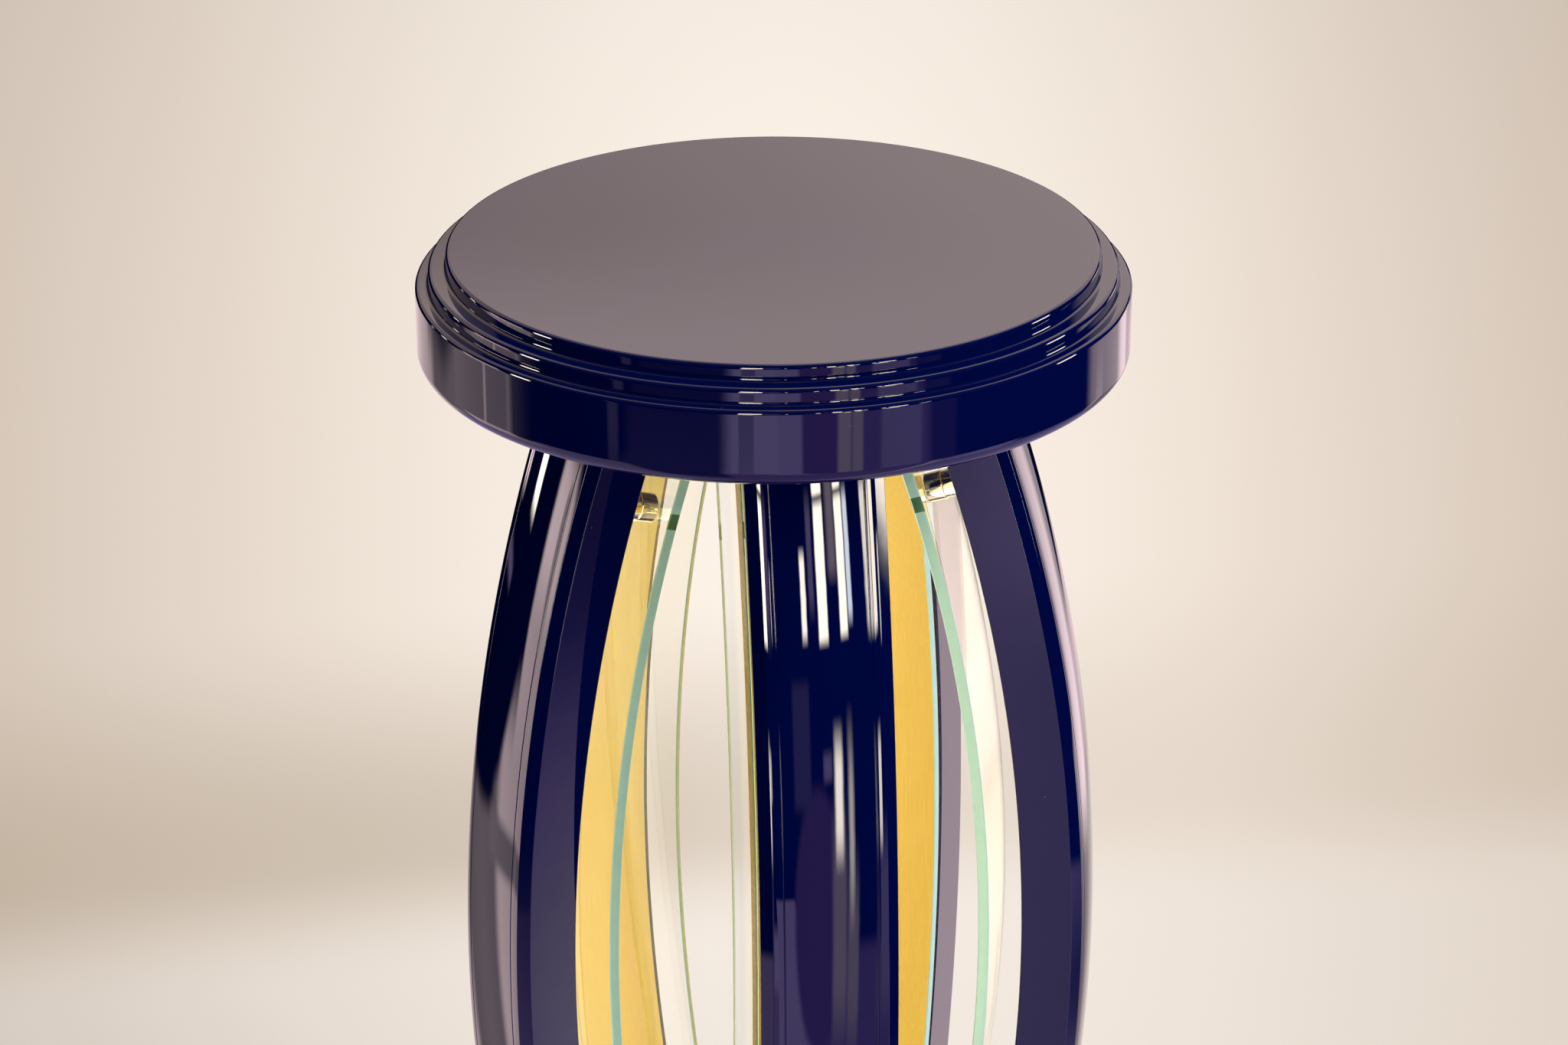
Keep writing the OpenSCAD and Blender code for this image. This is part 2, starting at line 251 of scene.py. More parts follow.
# Moulded clear nylon is see-through with a milky cast
NYLON = grained("clear_nylon", 2, 2.0, ("#e9efec", "#f6f9f7"),
                {"Transmission Weight": 0.8, "Roughness": 0.2, "IOR": 1.53})
# Turned beech is a pale wood with short dark flecks along the grain
BEECH = grained("turned_beech", 0.9, 5.0, ("#b58a5c", "#dcb98c"), {"Roughness": 0.62}, stretch=0.12,
                relief=(0.1, 0.4))
# Pressed wool felt is matt, with matted fibres and a soft sheen at glancing angles
FELT = grained("pressed_wool_felt", 0.7, 6.0, ("#2b2a2d", "#5b5a5e"),
               {"Roughness": 0.95, "Sheen Weight": 0.35}, distortion=1.5, relief=(0.4, 0.8))
print("made", ", ".join(m.name for m in (PLATING, STEEL, NYLON, BEECH, FELT)))

# %% [markdown]
# ## Outlines
# Lacquered mouldings have no sharp corners: the paint rounds them, and that rounding is what catches the
# thin bright lines along every edge. So an outline is a list of corners, each with a radius, and a function
# replaces each corner by an arc.

# %% Helpers for outlines
def arc(centre, radius, start, end, steps):
    """Points along an arc, from one angle to another, in degrees."""
    angles = [math.radians(start + (end - start) * i / steps) for i in range(steps + 1)]
    return [(centre[0] + radius * math.cos(a), centre[1] + radius * math.sin(a)) for a in angles]


def rounded(corners, steps=5):
    """An outline whose corners (x, y, radius) are replaced by arcs. A radius of 0 keeps the point."""
    points = []
    for i, (x, y, radius) in enumerate(corners):
        if radius == 0:
            points.append((x, y))
            continue
        here = Vector((x, y))
        before = (Vector(corners[i - 1][:2]) - here).normalized()
        after = (Vector(corners[(i + 1) % len(corners)][:2]) - here).normalized()
        half = before.angle(after) / 2
        centre = here + (before + after).normalized() * radius / math.sin(half)
        first = here + before * radius / math.tan(half) - centre
        last = here + after * radius / math.tan(half) - centre
        start = math.degrees(math.atan2(first.y, first.x))
        turn = (math.degrees(math.atan2(last.y, last.x)) - start + 180) % 360 - 180
        points += arc(centre, radius, start, start + turn, steps)
    return points


square = rounded([(0, 0, 1), (9, 0, 1), (9, 9, 1), (0, 9, 1)])
print("a square with rounded corners has", len(square), "points")

# %% [markdown]
# ## Turning and trees
# Everything round is turned: a profile is spun about an axis, as on a lathe. Here one function does it for
# the big drums and for the smallest screw, with a six-sided ring where a key fits. A second helper runs a
# geometry tree on a mesh and keeps the result as a plain mesh, because an exporter drops instances. Weighted
# normals then keep large faces truly flat beside small roundings, which a mirror finish shows at once.

# %% Helpers for turned pieces
def add_piece(name, mesh):
    """A mesh as an object in the scene, at the origin."""
    piece = bpy.data.objects.new(name, mesh)
    scene.collection.objects.link(piece)
    return piece


def mesh_of(shape, name, at=(0, 0, 0)):
    """The mesh, in metres, of a shape that was built in millimetres, with its faces turned outwards."""
    shape.transform(Matrix.Scale(MM, 4) @ Matrix.Translation(at))
    bmesh.ops.recalc_face_normals(shape, faces=shape.faces)
    mesh = bpy.data.meshes.new(name)
    shape.to_mesh(mesh)
    shape.free()
    return mesh


def turned(name, profile, segments=96, closed=False, along_x=False, at=(0, 0, 0)):
    """A mesh turned about Z, or X. A profile point is (radius, distance) or (radius, distance, "hex")."""
    shape = bmesh.new()
    rings = []
    for radius, distance, *flats in profile:
        ring = []
        for k in range(segments if radius else 1):
            angle = 2 * math.pi * k / segments
            hexagon = math.cos(math.pi / 6) / math.cos(angle % (math.pi / 3) - math.pi / 6)
            reach = radius * (hexagon if flats else 1)
            ring.append(shape.verts.new((reach * math.cos(angle), reach * math.sin(angle), distance)))
        rings.append(ring)
    for low, high in zip(rings, rings[1:] + (rings[:1] if closed else [])):
        for k in range(segments):
            corners = [low[k % len(low)], low[(k + 1) % len(low)],
                       high[(k + 1) % len(high)], high[k % len(high)]]
            # A ring of one point gives the same corner twice, and the dictionary keeps it once
            shape.faces.new(dict.fromkeys(corners))
    if along_x:
        shape.transform(Matrix.Rotation(math.pi / 2, 4, "Y"))
    return mesh_of(shape, name, at)


print("helpers for turning ready")

# %% Helpers for geometry trees and finished pieces
def settle(piece):
    """Replaces a piece's mesh by what its modifiers make of it, and removes them."""
    result = bpy.data.meshes.new_from_object(piece.evaluated_get(bpy.context.evaluated_depsgraph_get()))
    piece.modifiers.clear()
    piece.data = result
    return piece


def new_tree(name, sockets):
    """A geometry tree with named inputs. Returns the tree and the sockets that carry those inputs."""
    tree = bpy.data.node_groups.new(name, "GeometryNodeTree")
    tree.interface.new_socket("Geometry", in_out="INPUT", socket_type="NodeSocketGeometry")
    for label, kind in sockets.items():
        tree.interface.new_socket(label, in_out="INPUT", socket_type="NodeSocket" + kind)
    tree.interface.new_socket("Geometry", in_out="OUTPUT", socket_type="NodeSocketGeometry")
    return tree, add_node(tree, "NodeGroupInput").outputs


def end_tree(tree, geometry, material, accent=None):
    """The end of a tree: instances made real and the material set, with a second one on some faces."""
    real = add_node(tree, "GeometryNodeRealizeInstances", {"Geometry": geometry})
    painted = add_node(tree, "GeometryNodeSetMaterial", {"Geometry": real, "Material": material})
    if accent:
        painted = add_node(tree, "GeometryNodeSetMaterial",
                           {"Geometry": painted, "Selection": accent[0], "Material": accent[1]})
    add_node(tree, "NodeGroupOutput", {0: painted})


def grow(name, mesh, tree, values):
    """Runs a geometry tree on a mesh, with values for its inputs, and keeps the result as a plain mesh."""
    piece = add_piece(name, mesh)
    modifier = piece.modifiers.new(tree.name, "NODES")
    modifier.node_group = tree
    for item in tree.interface.items_tree:
        if item.name in values:
            modifier[item.identifier] = values[item.name]
    return settle(piece)


def polish(piece, sharp=40):
    """Smooth shading with sharp edges past an angle, and normals that favour the large faces."""
    piece.data.shade_smooth()
    piece.data.set_sharp_from_angle(angle=math.radians(sharp))
    weighted = piece.modifiers.new("Large faces first", "WEIGHTED_NORMAL")
    weighted.keep_sharp = True
    weighted.weight = 100
    return settle(piece)


def hand_in(piece, slot, *nodes):
    """Hangs a finished piece on the root body and hides the CAD nodes that it stands for. The slot is not
    used.
    """
    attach(piece, "root")
    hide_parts(*nodes)
    print(piece.name, "has", len(piece.data.polygons), "faces")


print("helpers for trees ready")

# %% [markdown]
# ## Seat and base
# Each is a turned disc: a flat top, two steps with a hollow between tread and riser, a tall band and a large
# rounding that faces the legs. One profile serves both, upside down for the base. From below, the base shows
# the five counterbores for its bolts, so those are really cut.

# %% The drum profile and the seat
STEP = 9
TREADS = (7, 9.5)
DRUM_SEGMENTS = 256


def drum_profile():
    """Half section of the drum from its underside at 0 to its flat, as (radius, height)."""
    radius_mid = DRUM_RADIUS - TREADS[0]
    radius_top = radius_mid - TREADS[1]
    low, mid = DRUM_HEIGHT - 2 * STEP, DRUM_HEIGHT - STEP
    edge, cove, under = 2.3, 1.8, 8.5
    return rounded([(0, 0, 0), (DRUM_RADIUS, 0, under), (DRUM_RADIUS, low, edge), (radius_mid, low, cove),
                    (radius_mid, mid, edge), (radius_top, mid, cove), (radius_top, DRUM_HEIGHT, edge),
                    (0, DRUM_HEIGHT, 0)], steps=10)


seat = add_piece("lacquered_seat",
                 turned("lacquered_seat", drum_profile(), DRUM_SEGMENTS, at=(0, 0, seat_low.z)))
seat.data.materials.append(LACQUER)
hand_in(polish(seat), "lacquer", "seat_top")

# %% [markdown]
# ### A ring of copies
# Counterbores, bolts, washers, pads and standoffs all stand in a ring of five, as the legs do. So each is
# made once, and a geometry tree sets copies of it round the axis: it places as many points as there are
# legs, all on the axis, and turns the copy at each point a fifth of a circle further than the last.

# %% The ring of five
def round_the_axis(tree, count, geometry):
    """Copies of a shape turned about the axis by equal steps, the first one to the front."""
    spots = add_node(tree, "GeometryNodeMeshLine", {"Count": count, "Offset": (0, 0, 0)})
    number = add_node(tree, "GeometryNodeInputIndex")
    share = add_node(tree, "ShaderNodeMath", {0: 2 * math.pi, 1: count}, operation="DIVIDE")
    angle = add_node(tree, "ShaderNodeMath", {0: number, 1: share, 2: -math.pi / 2},
                     operation="MULTIPLY_ADD")
    turn = add_node(tree, "ShaderNodeCombineXYZ", {"Z": angle})
    facing_out = add_node(tree, "FunctionNodeEulerToRotation", {0: turn})
    return add_node(tree, "GeometryNodeInstanceOnPoints",
                    {"Points": spots, "Instance": geometry, "Rotation": facing_out})


ring_tree, sockets = new_tree("Ring", {"Count": "Int", "Material": "Material"})
ring = round_the_axis(ring_tree, sockets["Count"], sockets["Geometry"])
end_tree(ring_tree, ring, sockets["Material"])
print("tree", ring_tree.name, "sets copies round the axis")

# %% The base with its counterbores
JOINT_RADIUS = 101
BORE_RADIUS, BORE_DEPTH = 9.5, 32
BOLT_HOLE = 4.2
base = add_piece("lacquered_base", turned("lacquered_base", [(r, base_high.z - z) for r, z in drum_profile()],
                                          DRUM_SEGMENTS))
base.data.materials.append(LACQUER)
# The cutter starts below the base and ends above it, so that no two faces meet
plug = turned("counterbore_cutter",
              [(0, -9), (BORE_RADIUS, -9), (BORE_RADIUS, BORE_DEPTH), (BOLT_HOLE, BORE_DEPTH),
               (BOLT_HOLE, 90), (0, 90)], 64, at=(JOINT_RADIUS, 0, base_low.z))
cutters = grow("counterbore_cutters", plug, ring_tree, {"Count": LEGS, "Material": LACQUER})
drill = base.modifiers.new("Counterbores", "BOOLEAN")
drill.object = cutters
drill.solver = "EXACT"
settle(base)
bpy.data.objects.remove(cutters)
hand_in(polish(base), "lacquer", "base_plinth")

# %% [markdown]
# ## Legs
# A leg is a bowed stave. A spindle moulder gives it one section from end to end: flat sides, a chamfer, a
# narrow convex strip, a fine quirk line and a broad convex crown, with a shallow recess inside for the gold
# facing. The section is drawn once, as arcs and rounded corners. A geometry tree sweeps it straight up and
# then bends it to the bow, level by level, so that both ends stay flat against seat and base.

# %% The section of a leg
SIDE_DEPTH = 27.5
CHAMFER = (5, 6)
STRIP_WIDTH, STRIP_RISE, STRIP_RADIUS = 6, 1, 36
CROWN_RISE = 1.6
QUIRK_RADIUS, QUIRK_OUT = 0.5, 0.15
LIP_WIDTH, FACING_BED = 2.5, 1.5
EDGE_ROUND, LIP_ROUND = 0.8, 0.2


def leg_section():
    """Outline of a leg as (outwards, across), with its inner edges at 0."""
    half = LEG_WIDTH / 2
    bed = half - CHAMFER[1]
    quirk = bed - STRIP_WIDTH
    strip_x = SIDE_DEPTH + CHAMFER[0]
    crown_radius = (quirk ** 2 + CROWN_RISE ** 2) / (2 * CROWN_RISE)
    crown_centre = strip_x + STRIP_RISE + CROWN_RISE - crown_radius
    chord = math.hypot(STRIP_RISE, STRIP_WIDTH)
    back = math.sqrt(STRIP_RADIUS ** 2 - chord ** 2 / 4)
    strip_centre = (strip_x + STRIP_RISE / 2 - back * STRIP_WIDTH / chord,
                    (bed + quirk) / 2 - back * STRIP_RISE / chord)
    crown_end = math.degrees(math.asin((quirk - QUIRK_RADIUS) / crown_radius))
    strip_start = math.degrees(math.asin((quirk + QUIRK_RADIUS - strip_centre[1]) / STRIP_RADIUS))
    strip_end = math.degrees(math.asin((bed - strip_centre[1]) / STRIP_RADIUS))
    side = arc((crown_centre, 0), crown_radius, 0, crown_end, 14)
    # The quirk is a fine groove. Its centre is just outside the wood, and its arc runs backwards, inside.
    side += arc((strip_x + STRIP_RISE + QUIRK_OUT, quirk), QUIRK_RADIUS, 250, 110, 8)
    side += arc(strip_centre, STRIP_RADIUS, strip_start, strip_end, 7)[:-1]
    corners = [(x, y, 0) for x, y in side]
    corners += [(strip_x, bed, EDGE_ROUND), (SIDE_DEPTH, half, EDGE_ROUND), (0, half, EDGE_ROUND),
                (0, half - LIP_WIDTH, LIP_ROUND), (FACING_BED, half - LIP_WIDTH, 0)]
    other_side = [(x, -y, r) for x, y, r in reversed(corners) if y > 0]
    return rounded(corners + other_side, steps=6)


def outline_mesh(name, points):
    """A closed outline as a mesh of edges, in metres."""
    mesh = bpy.data.meshes.new(name)
    edges = [(i, (i + 1) % len(points)) for i in range(len(points))]
    mesh.from_pydata([(x * MM, y * MM, 0) for x, y in points], edges, [])
    return mesh


print("the section of a leg has", len(leg_section()), "points")

# %% [markdown]
# ### Bowing a stave
# Bending is a rule for points. A point of the straight stave stands X out from the inner face at a level Z.
# On the bow it lies on a circle about the bow's centre, whose radius is the bow's plus X, and the rule for
# right-angled triangles gives how far out that circle is at the level Z. Levels stay level, so the ends of
# the stave stay flat.

# %% The tree that bows a stave
def bend_and_turn(tree, geometry, outwards, across, height, turn):
    """Moves the points of a shape to the places given, and turns it about the stool's axis."""
    bowed = add_node(tree, "ShaderNodeCombineXYZ", {"X": outwards, "Y": across, "Z": height})
    bent = add_node(tree, "GeometryNodeSetPosition", {"Geometry": geometry, "Position": bowed})
    about = add_node(tree, "ShaderNodeCombineXYZ", {"Z": turn})
    return add_node(tree, "GeometryNodeTransform", {"Geometry": bent, "Rotation": about})


stave_tree, sockets = new_tree("Bowed stave", {
    "Height": "Float", "Rings": "Int", "Bow radius": "Float", "Bow centre": "Float",
    "Middle height": "Float", "Turn": "Float", "Material": "Material"})
outline = add_node(stave_tree, "GeometryNodeMeshToCurve", {"Mesh": sockets["Geometry"]})
ends = []
for half in (-0.5, 0.5):
    level = add_node(stave_tree, "ShaderNodeMath", {0: sockets["Height"], 1: half}, operation="MULTIPLY")
    ends.append(add_node(stave_tree, "ShaderNodeCombineXYZ", {"Z": level}))
spine = add_node(stave_tree, "GeometryNodeCurvePrimitiveLine", {"Start": ends[0], "End": ends[1]})
levels = add_node(stave_tree, "GeometryNodeResampleCurve", {"Curve": spine, "Count": sockets["Rings"]})
stave = add_node(stave_tree, "GeometryNodeCurveToMesh",
                 {"Curve": levels, "Profile Curve": outline, "Fill Caps": True})
where = add_node(stave_tree, "GeometryNodeInputPosition")
split = add_node(stave_tree, "ShaderNodeSeparateXYZ", {0: where})
radius = add_node(stave_tree, "ShaderNodeMath", {0: sockets["Bow radius"], 1: split.outputs["X"]})
radius_squared = add_node(stave_tree, "ShaderNodeMath", {0: radius, 1: 2.0}, operation="POWER")
level_squared = add_node(stave_tree, "ShaderNodeMath", {0: split.outputs["Z"], 1: split.outputs["Z"]},
                         operation="MULTIPLY")
rest = add_node(stave_tree, "ShaderNodeMath", {0: radius_squared, 1: level_squared}, operation="SUBTRACT")
reach = add_node(stave_tree, "ShaderNodeMath", {0: rest}, operation="SQRT")
outwards = add_node(stave_tree, "ShaderNodeMath", {0: reach, 1: sockets["Bow centre"]})
height = add_node(stave_tree, "ShaderNodeMath", {0: split.outputs["Z"], 1: sockets["Middle height"]})
placed = bend_and_turn(stave_tree, stave, outwards, split.outputs["Y"], height, sockets["Turn"])
end_tree(stave_tree, placed, sockets["Material"])
print("tree", stave_tree.name, "has", len(stave_tree.nodes), "nodes")

# %% Five legs and their gold facings
BOW = {"Bow centre": BOW_CENTRE * MM, "Middle height": MIDDLE * MM}
STAVE = BOW | {"Height": LEG_HEIGHT * MM, "Rings": 97, "Bow radius": BOW_RADIUS * MM}
FACING_THICKNESS = 1.35
FACING_HALF = LEG_WIDTH / 2 - LIP_WIDTH - 0.1


def leg_turn(number):
    """The angle of a leg about the axis. Leg 1 stands at the front, towards -Y."""
    return math.radians(360 / LEGS * (number - 1) - 90)


leg_outline = outline_mesh("leg_section", leg_section())
facing_outline = outline_mesh("facing_section", rounded([
    (0, -FACING_HALF, 0.25), (FACING_THICKNESS, -FACING_HALF, 0.1),
    (FACING_THICKNESS, FACING_HALF, 0.1), (0, FACING_HALF, 0.25)]))
for number in range(1, LEGS + 1):
    for name, drawn, material, slot, node in (
            ("lacquered_leg", leg_outline, LACQUER, "lacquer", "leg"),
            ("gold_sheet", facing_outline, GOLD, "gold_sheet", "gold_facing")):
        piece = grow(f"{name}_{number}", drawn, stave_tree,
                     STAVE | {"Turn": leg_turn(number), "Material": material})
        hand_in(polish(piece), slot, f"{node}_{number}")

# %% [markdown]
# ## Glass strips
# A glass strip is float glass, cut, ground, drilled and then sagged over a mould. The mesh is made in the
# same order. A flat pane is ruled into quads, with a ring of quads round each of its four holes, and gets
# its edges and its ground bevels. Then a geometry tree bends it about the bow's centre, square to the bow
# all the way, so the drilled holes stay round and point at the leg.

# %% The sizes of a pane, and how it is ruled
GLASS_GAP, GLASS_THICKNESS = 17, 6
GLASS_OUT = BOW_RADIUS - GLASS_GAP
GLASS_IN = GLASS_OUT - GLASS_THICKNESS
GLASS_SWEEP = math.asin((LEG_HEIGHT / 2 - 8) / GLASS_OUT)
PAIR_PITCH, PAIR_DROP = 46, 60
PAIR_ANGLE = math.asin((LEG_HEIGHT / 2 - PAIR_DROP) / BOW_RADIUS)
HOLE_RADIUS, GROUND_BEVEL, HOLE_BEVEL = 4, 0.6, 0.3
# A hole sits in a square block of BLOCK mm, ruled FINE by FINE, and the rest in cells of about CELL mm
BLOCK, FINE, CELL = 14, 8, 7


def spaced(start, end, step):
    """Even points from start to end, no further apart than the step."""
    count = max(1, math.ceil((end - start) / step - 0.001))
    return [start + (end - start) * i / count for i in range(count + 1)]


def ruling(half, centres):
    """Ruled lines from -half to half: fine ones across each hole's block, coarse ones between."""
    lines = [-half]
    for centre in centres:
        lines += spaced(lines.pop(), centre - BLOCK / 2, CELL)
        lines += spaced(lines.pop(), centre + BLOCK / 2, BLOCK / FINE)
    return lines[:-1] + spaced(lines[-1], half, CELL)


def border(first, second, width, length):
    """Grid keys round a rectangle of cells, in order."""
    keys = [(first + k, second) for k in range(width)]
    keys += [(first + width, second + k) for k in range(length)]
    keys += [(first + width - k, second + length) for k in range(width)]
    return keys + [(first, second + length - k) for k in range(length)]


print("an edge of 30 mm with a hole in the middle is ruled at", [round(y, 2) for y in ruling(15, [0])])

# %% A drilled flat pane
def bridge(shape, ring, other):
    """Quads between two closed rings of vertices."""
    steps = [(k, (k + 1) % len(ring)) for k in range(len(ring))]
    return [shape.faces.new([ring[k], ring[after], other[after], other[k]]) for k, after in steps]


def scaled(shape, ring, centre, scale, x):
    """New vertices at that X, with each Y and Z of a ring scaled about a centre."""
    return [shape.verts.new((x, centre[0] + (v.co.y - centre[0]) * scale[0],
                             centre[1] + (v.co.z - centre[1]) * scale[1])) for v in ring]


def drilled_pane(name, half_width, half_length, holes):
    """A flat pane: X through its thickness, Y across, Z along. Its ground_edge layer marks the edges with 1,
    and with 2 where they get painted shade beside a hole.
    """
    across = ruling(half_width - GROUND_BEVEL, sorted({y for y, z in holes}))
    along = ruling(half_length - GROUND_BEVEL, sorted({z for y, z in holes}))
    blocks = [[min(range(len(lines)), key=lambda k: abs(lines[k] - (value - BLOCK / 2)))
               for lines, value in ((across, y), (along, z))] for y, z in holes]
    covered = {(a + i, b + j) for a, b in blocks for i in range(FINE) for j in range(FINE)}
    inside = {(a + i, b + j) for a, b in blocks for i in range(1, FINE) for j in range(1, FINE)}
    shape = bmesh.new()
    ground = shape.faces.layers.int.new("ground_edge")
    sides = []
    for x in (GLASS_THICKNESS, 0):
        grid = {(i, j): shape.verts.new((x, y, z)) for i, y in enumerate(across) for j, z in enumerate(along)
                if (i, j) not in inside}
        for i in range(len(across) - 1):
            for j in range(len(along) - 1):
                if (i, j) not in covered:
                    shape.faces.new([grid[i, j], grid[i + 1, j], grid[i + 1, j + 1], grid[i, j + 1]])
        loops = [[grid[key] for key in border(0, 0, len(across) - 1, len(along) - 1)]]
        for (a, b), (y, z) in zip(blocks, holes):
            square = [grid[key] for key in border(a, b, FINE, FINE)]
            centre = Vector((x, y, z))
            rim = [centre + (v.co - centre).normalized() * (HOLE_RADIUS + HOLE_BEVEL) for v in square]
            middle = [shape.verts.new(v.co.lerp(point, 0.6)) for v, point in zip(square, rim)]
            loops.append([shape.verts.new(point) for point in rim])
            bridge(shape, square, middle)
            bridge(shape, middle, loops[-1])
        sides.append(loops)
    # The outline grows by its bevel between face and edge, and each hole shrinks by its own
    grown = (half_width / (half_width - GROUND_BEVEL), half_length / (half_length - GROUND_BEVEL))
    shrunk = (HOLE_RADIUS / (HOLE_RADIUS + HOLE_BEVEL),) * 2
    rules = [((0, 0), grown, GROUND_BEVEL)] + [(hole, shrunk, HOLE_BEVEL) for hole in holes]
    for front, behind, (centre, scale, bevel) in zip(*sides, rules):
        rims = [front, scaled(shape, front, centre, scale, GLASS_THICKNESS - bevel),
                scaled(shape, behind, centre, scale, bevel), behind]
        for ring, other in zip(rims, rims[1:]):
            for face in bridge(shape, ring, other):
                level = face.calc_center_median().z
                # Faces of the pane's outline that are level with a hole get the mark 2, for the painted shade
                # beside it
                beside = front is sides[0][0] and any(abs(level - z) < HOLE_RADIUS + 0.5 for y, z in holes)
                face[ground] = 2 if beside else 1
    return mesh_of(shape, name)


MIDDLE_OF_GLASS = GLASS_IN + GLASS_THICKNESS / 2
holes = [(side * PAIR_PITCH / 2, level * PAIR_ANGLE * MIDDLE_OF_GLASS)
         for side in (-1, 1) for level in (-1, 1)]
pane = drilled_pane("flat_pane", GLASS_WIDTH / 2, GLASS_SWEEP * MIDDLE_OF_GLASS, holes)
print("flat pane:", len(pane.polygons), "faces,", round(2 * GLASS_SWEEP * MIDDLE_OF_GLASS), "mm long")

# %% The tree that bends a pane, and five strips
pane_tree, sockets = new_tree("Bent pane", {
    "Inner radius": "Float", "Middle radius": "Float", "Bow centre": "Float", "Middle height": "Float",
    "Turn": "Float", "Faces": "Material", "Edges": "Material"})
where = add_node(pane_tree, "GeometryNodeInputPosition")
split = add_node(pane_tree, "ShaderNodeSeparateXYZ", {0: where})
bend = add_node(pane_tree, "ShaderNodeMath", {0: split.outputs["Z"], 1: sockets["Middle radius"]},
                operation="DIVIDE")
radius = add_node(pane_tree, "ShaderNodeMath", {0: sockets["Inner radius"], 1: split.outputs["X"]})
outwards, height = (
    add_node(pane_tree, "ShaderNodeMath",
             {0: radius, 2: sockets[start],
              1: add_node(pane_tree, "ShaderNodeMath", {0: bend}, operation=part)},
             operation="MULTIPLY_ADD")
    for part, start in (("COSINE", "Bow centre"), ("SINE", "Middle height")))
placed = bend_and_turn(pane_tree, sockets["Geometry"], outwards, split.outputs["Y"],
                       height, sockets["Turn"])
edges = add_node(pane_tree, "GeometryNodeInputNamedAttribute", {"Name": "ground_edge"}, data_type="INT")
end_tree(pane_tree, placed, sockets["Faces"], (edges, sockets["Edges"]))

for number in range(1, LEGS + 1):
    strip = grow(f"bent_glass_{number}", pane, pane_tree, BOW | {
        "Inner radius": GLASS_IN * MM, "Middle radius": MIDDLE_OF_GLASS * MM, "Turn": leg_turn(number),
        "Faces": CLEAR_GLASS, "Edges": GLASS_EDGE})
    # Clear glass lets nearly all light through, but a path tracer would give it a full shadow
    strip.visible_shadow = False
    hand_in(polish(strip), "clear_glass", f"glass_strip_{number}")

# %% [markdown]
# ## Standoffs
# Two round standoffs at each end of a strip hold it off the gold face. Each is a collar and a barrel, turned
# and plated, on a countersunk screw with a hexagon socket, and a clear sleeve keeps the screw off the glass.
# There are twenty of each, so one is turned and a geometry tree sets it out: two side by side, twice up the
# bow, five times round.

# %% The tree that sets out the standoffs
standoff_tree, sockets = new_tree("Standoffs", {
    "Pitch": "Float", "Pair angle": "Float", "Bow centre": "Float", "Middle height": "Float",
    "Count": "Int", "Material": "Material"})
half_pitch = add_node(standoff_tree, "ShaderNodeMath", {0: sockets["Pitch"], 1: -0.5}, operation="MULTIPLY")
first = add_node(standoff_tree, "ShaderNodeCombineXYZ", {"Y": half_pitch})
step = add_node(standoff_tree, "ShaderNodeCombineXYZ", {"Y": sockets["Pitch"]})
pair = add_node(standoff_tree, "GeometryNodeMeshLine",
                {"Count": 2, "Start Location": first, "Offset": step})
pairs = add_node(standoff_tree, "GeometryNodeInstanceOnPoints",
                 {"Points": pair, "Instance": sockets["Geometry"]})
bow_centre = add_node(standoff_tree, "ShaderNodeCombineXYZ",
                      {"X": sockets["Bow centre"], "Z": sockets["Middle height"]})
ends = add_node(standoff_tree, "GeometryNodeMeshLine",
                {"Count": 2, "Start Location": bow_centre, "Offset": (0, 0, 0)})
# The two ends are numbered 0 and 1, which doubled and less 1 gives -1 and 1, the signs of the tilt
end_number = add_node(standoff_tree, "GeometryNodeInputIndex")
up_or_down = add_node(standoff_tree, "ShaderNodeMath", {0: end_number, 1: 2.0, 2: -1.0},
                      operation="MULTIPLY_ADD")
tilt = add_node(standoff_tree, "ShaderNodeMath", {0: up_or_down, 1: sockets["Pair angle"]},
                operation="MULTIPLY")
tilt_turn = add_node(standoff_tree, "ShaderNodeCombineXYZ", {"Y": tilt})
tilted = add_node(standoff_tree, "FunctionNodeEulerToRotation", {0: tilt_turn})
fours = add_node(standoff_tree, "GeometryNodeInstanceOnPoints",
                 {"Points": ends, "Instance": pairs, "Rotation": tilted})
all_of_them = round_the_axis(standoff_tree, sockets["Count"], fours)
end_tree(standoff_tree, all_of_them, sockets["Material"])
print("tree", standoff_tree.name, "nests three rounds of copies")

# %% Barrels, collars, screws and sleeves
LAYOUT = BOW | {"Pitch": PAIR_PITCH * MM, "Pair angle": PAIR_ANGLE, "Count": LEGS}
SMALL_SEGMENTS, SMALL_SHARP = 48, 30
SCREW_HOLE = 2.15
BARREL_RADIUS, COLLAR_RADIUS, COLLAR_LENGTH = 8, 7.5, 7
SCREW_RADIUS, SCREW_LENGTH, HEAD_RADIUS, KEY_RADIUS = 2, 40, 3.3, 1.44
SLEEVE_RADIUS = 3.9
PLAY, SEAM = 0.1, 0.01
barrel_near, barrel_far = GLASS_OUT + PLAY, BOW_RADIUS - COLLAR_LENGTH
collar_near, collar_far = barrel_far + SEAM, BOW_RADIUS - PLAY
barrel = rounded([(SCREW_HOLE, barrel_near, 0), (BARREL_RADIUS, barrel_near, 0.6),
                  (BARREL_RADIUS, barrel_far, 0.6), (SCREW_HOLE, barrel_far, 0)])
collar = rounded([(SCREW_HOLE, collar_near, 0), (COLLAR_RADIUS, collar_near, 0.4),
                  (COLLAR_RADIUS, collar_far, 0.4), (SCREW_HOLE, collar_far, 0)])
flush, tip = GLASS_IN + PLAY, GLASS_IN + SCREW_LENGTH
screw = [(0, flush + 1.7), (KEY_RADIUS, flush + 1.5, "hex"), (KEY_RADIUS, flush + 0.1, "hex"),
         (KEY_RADIUS + 0.1, flush, "hex"), (HEAD_RADIUS - 0.1, flush), (HEAD_RADIUS, flush + 0.1),
         (SCREW_RADIUS, flush + 1.3), (SCREW_RADIUS, tip - 3), (0.4, tip), (0, tip)]
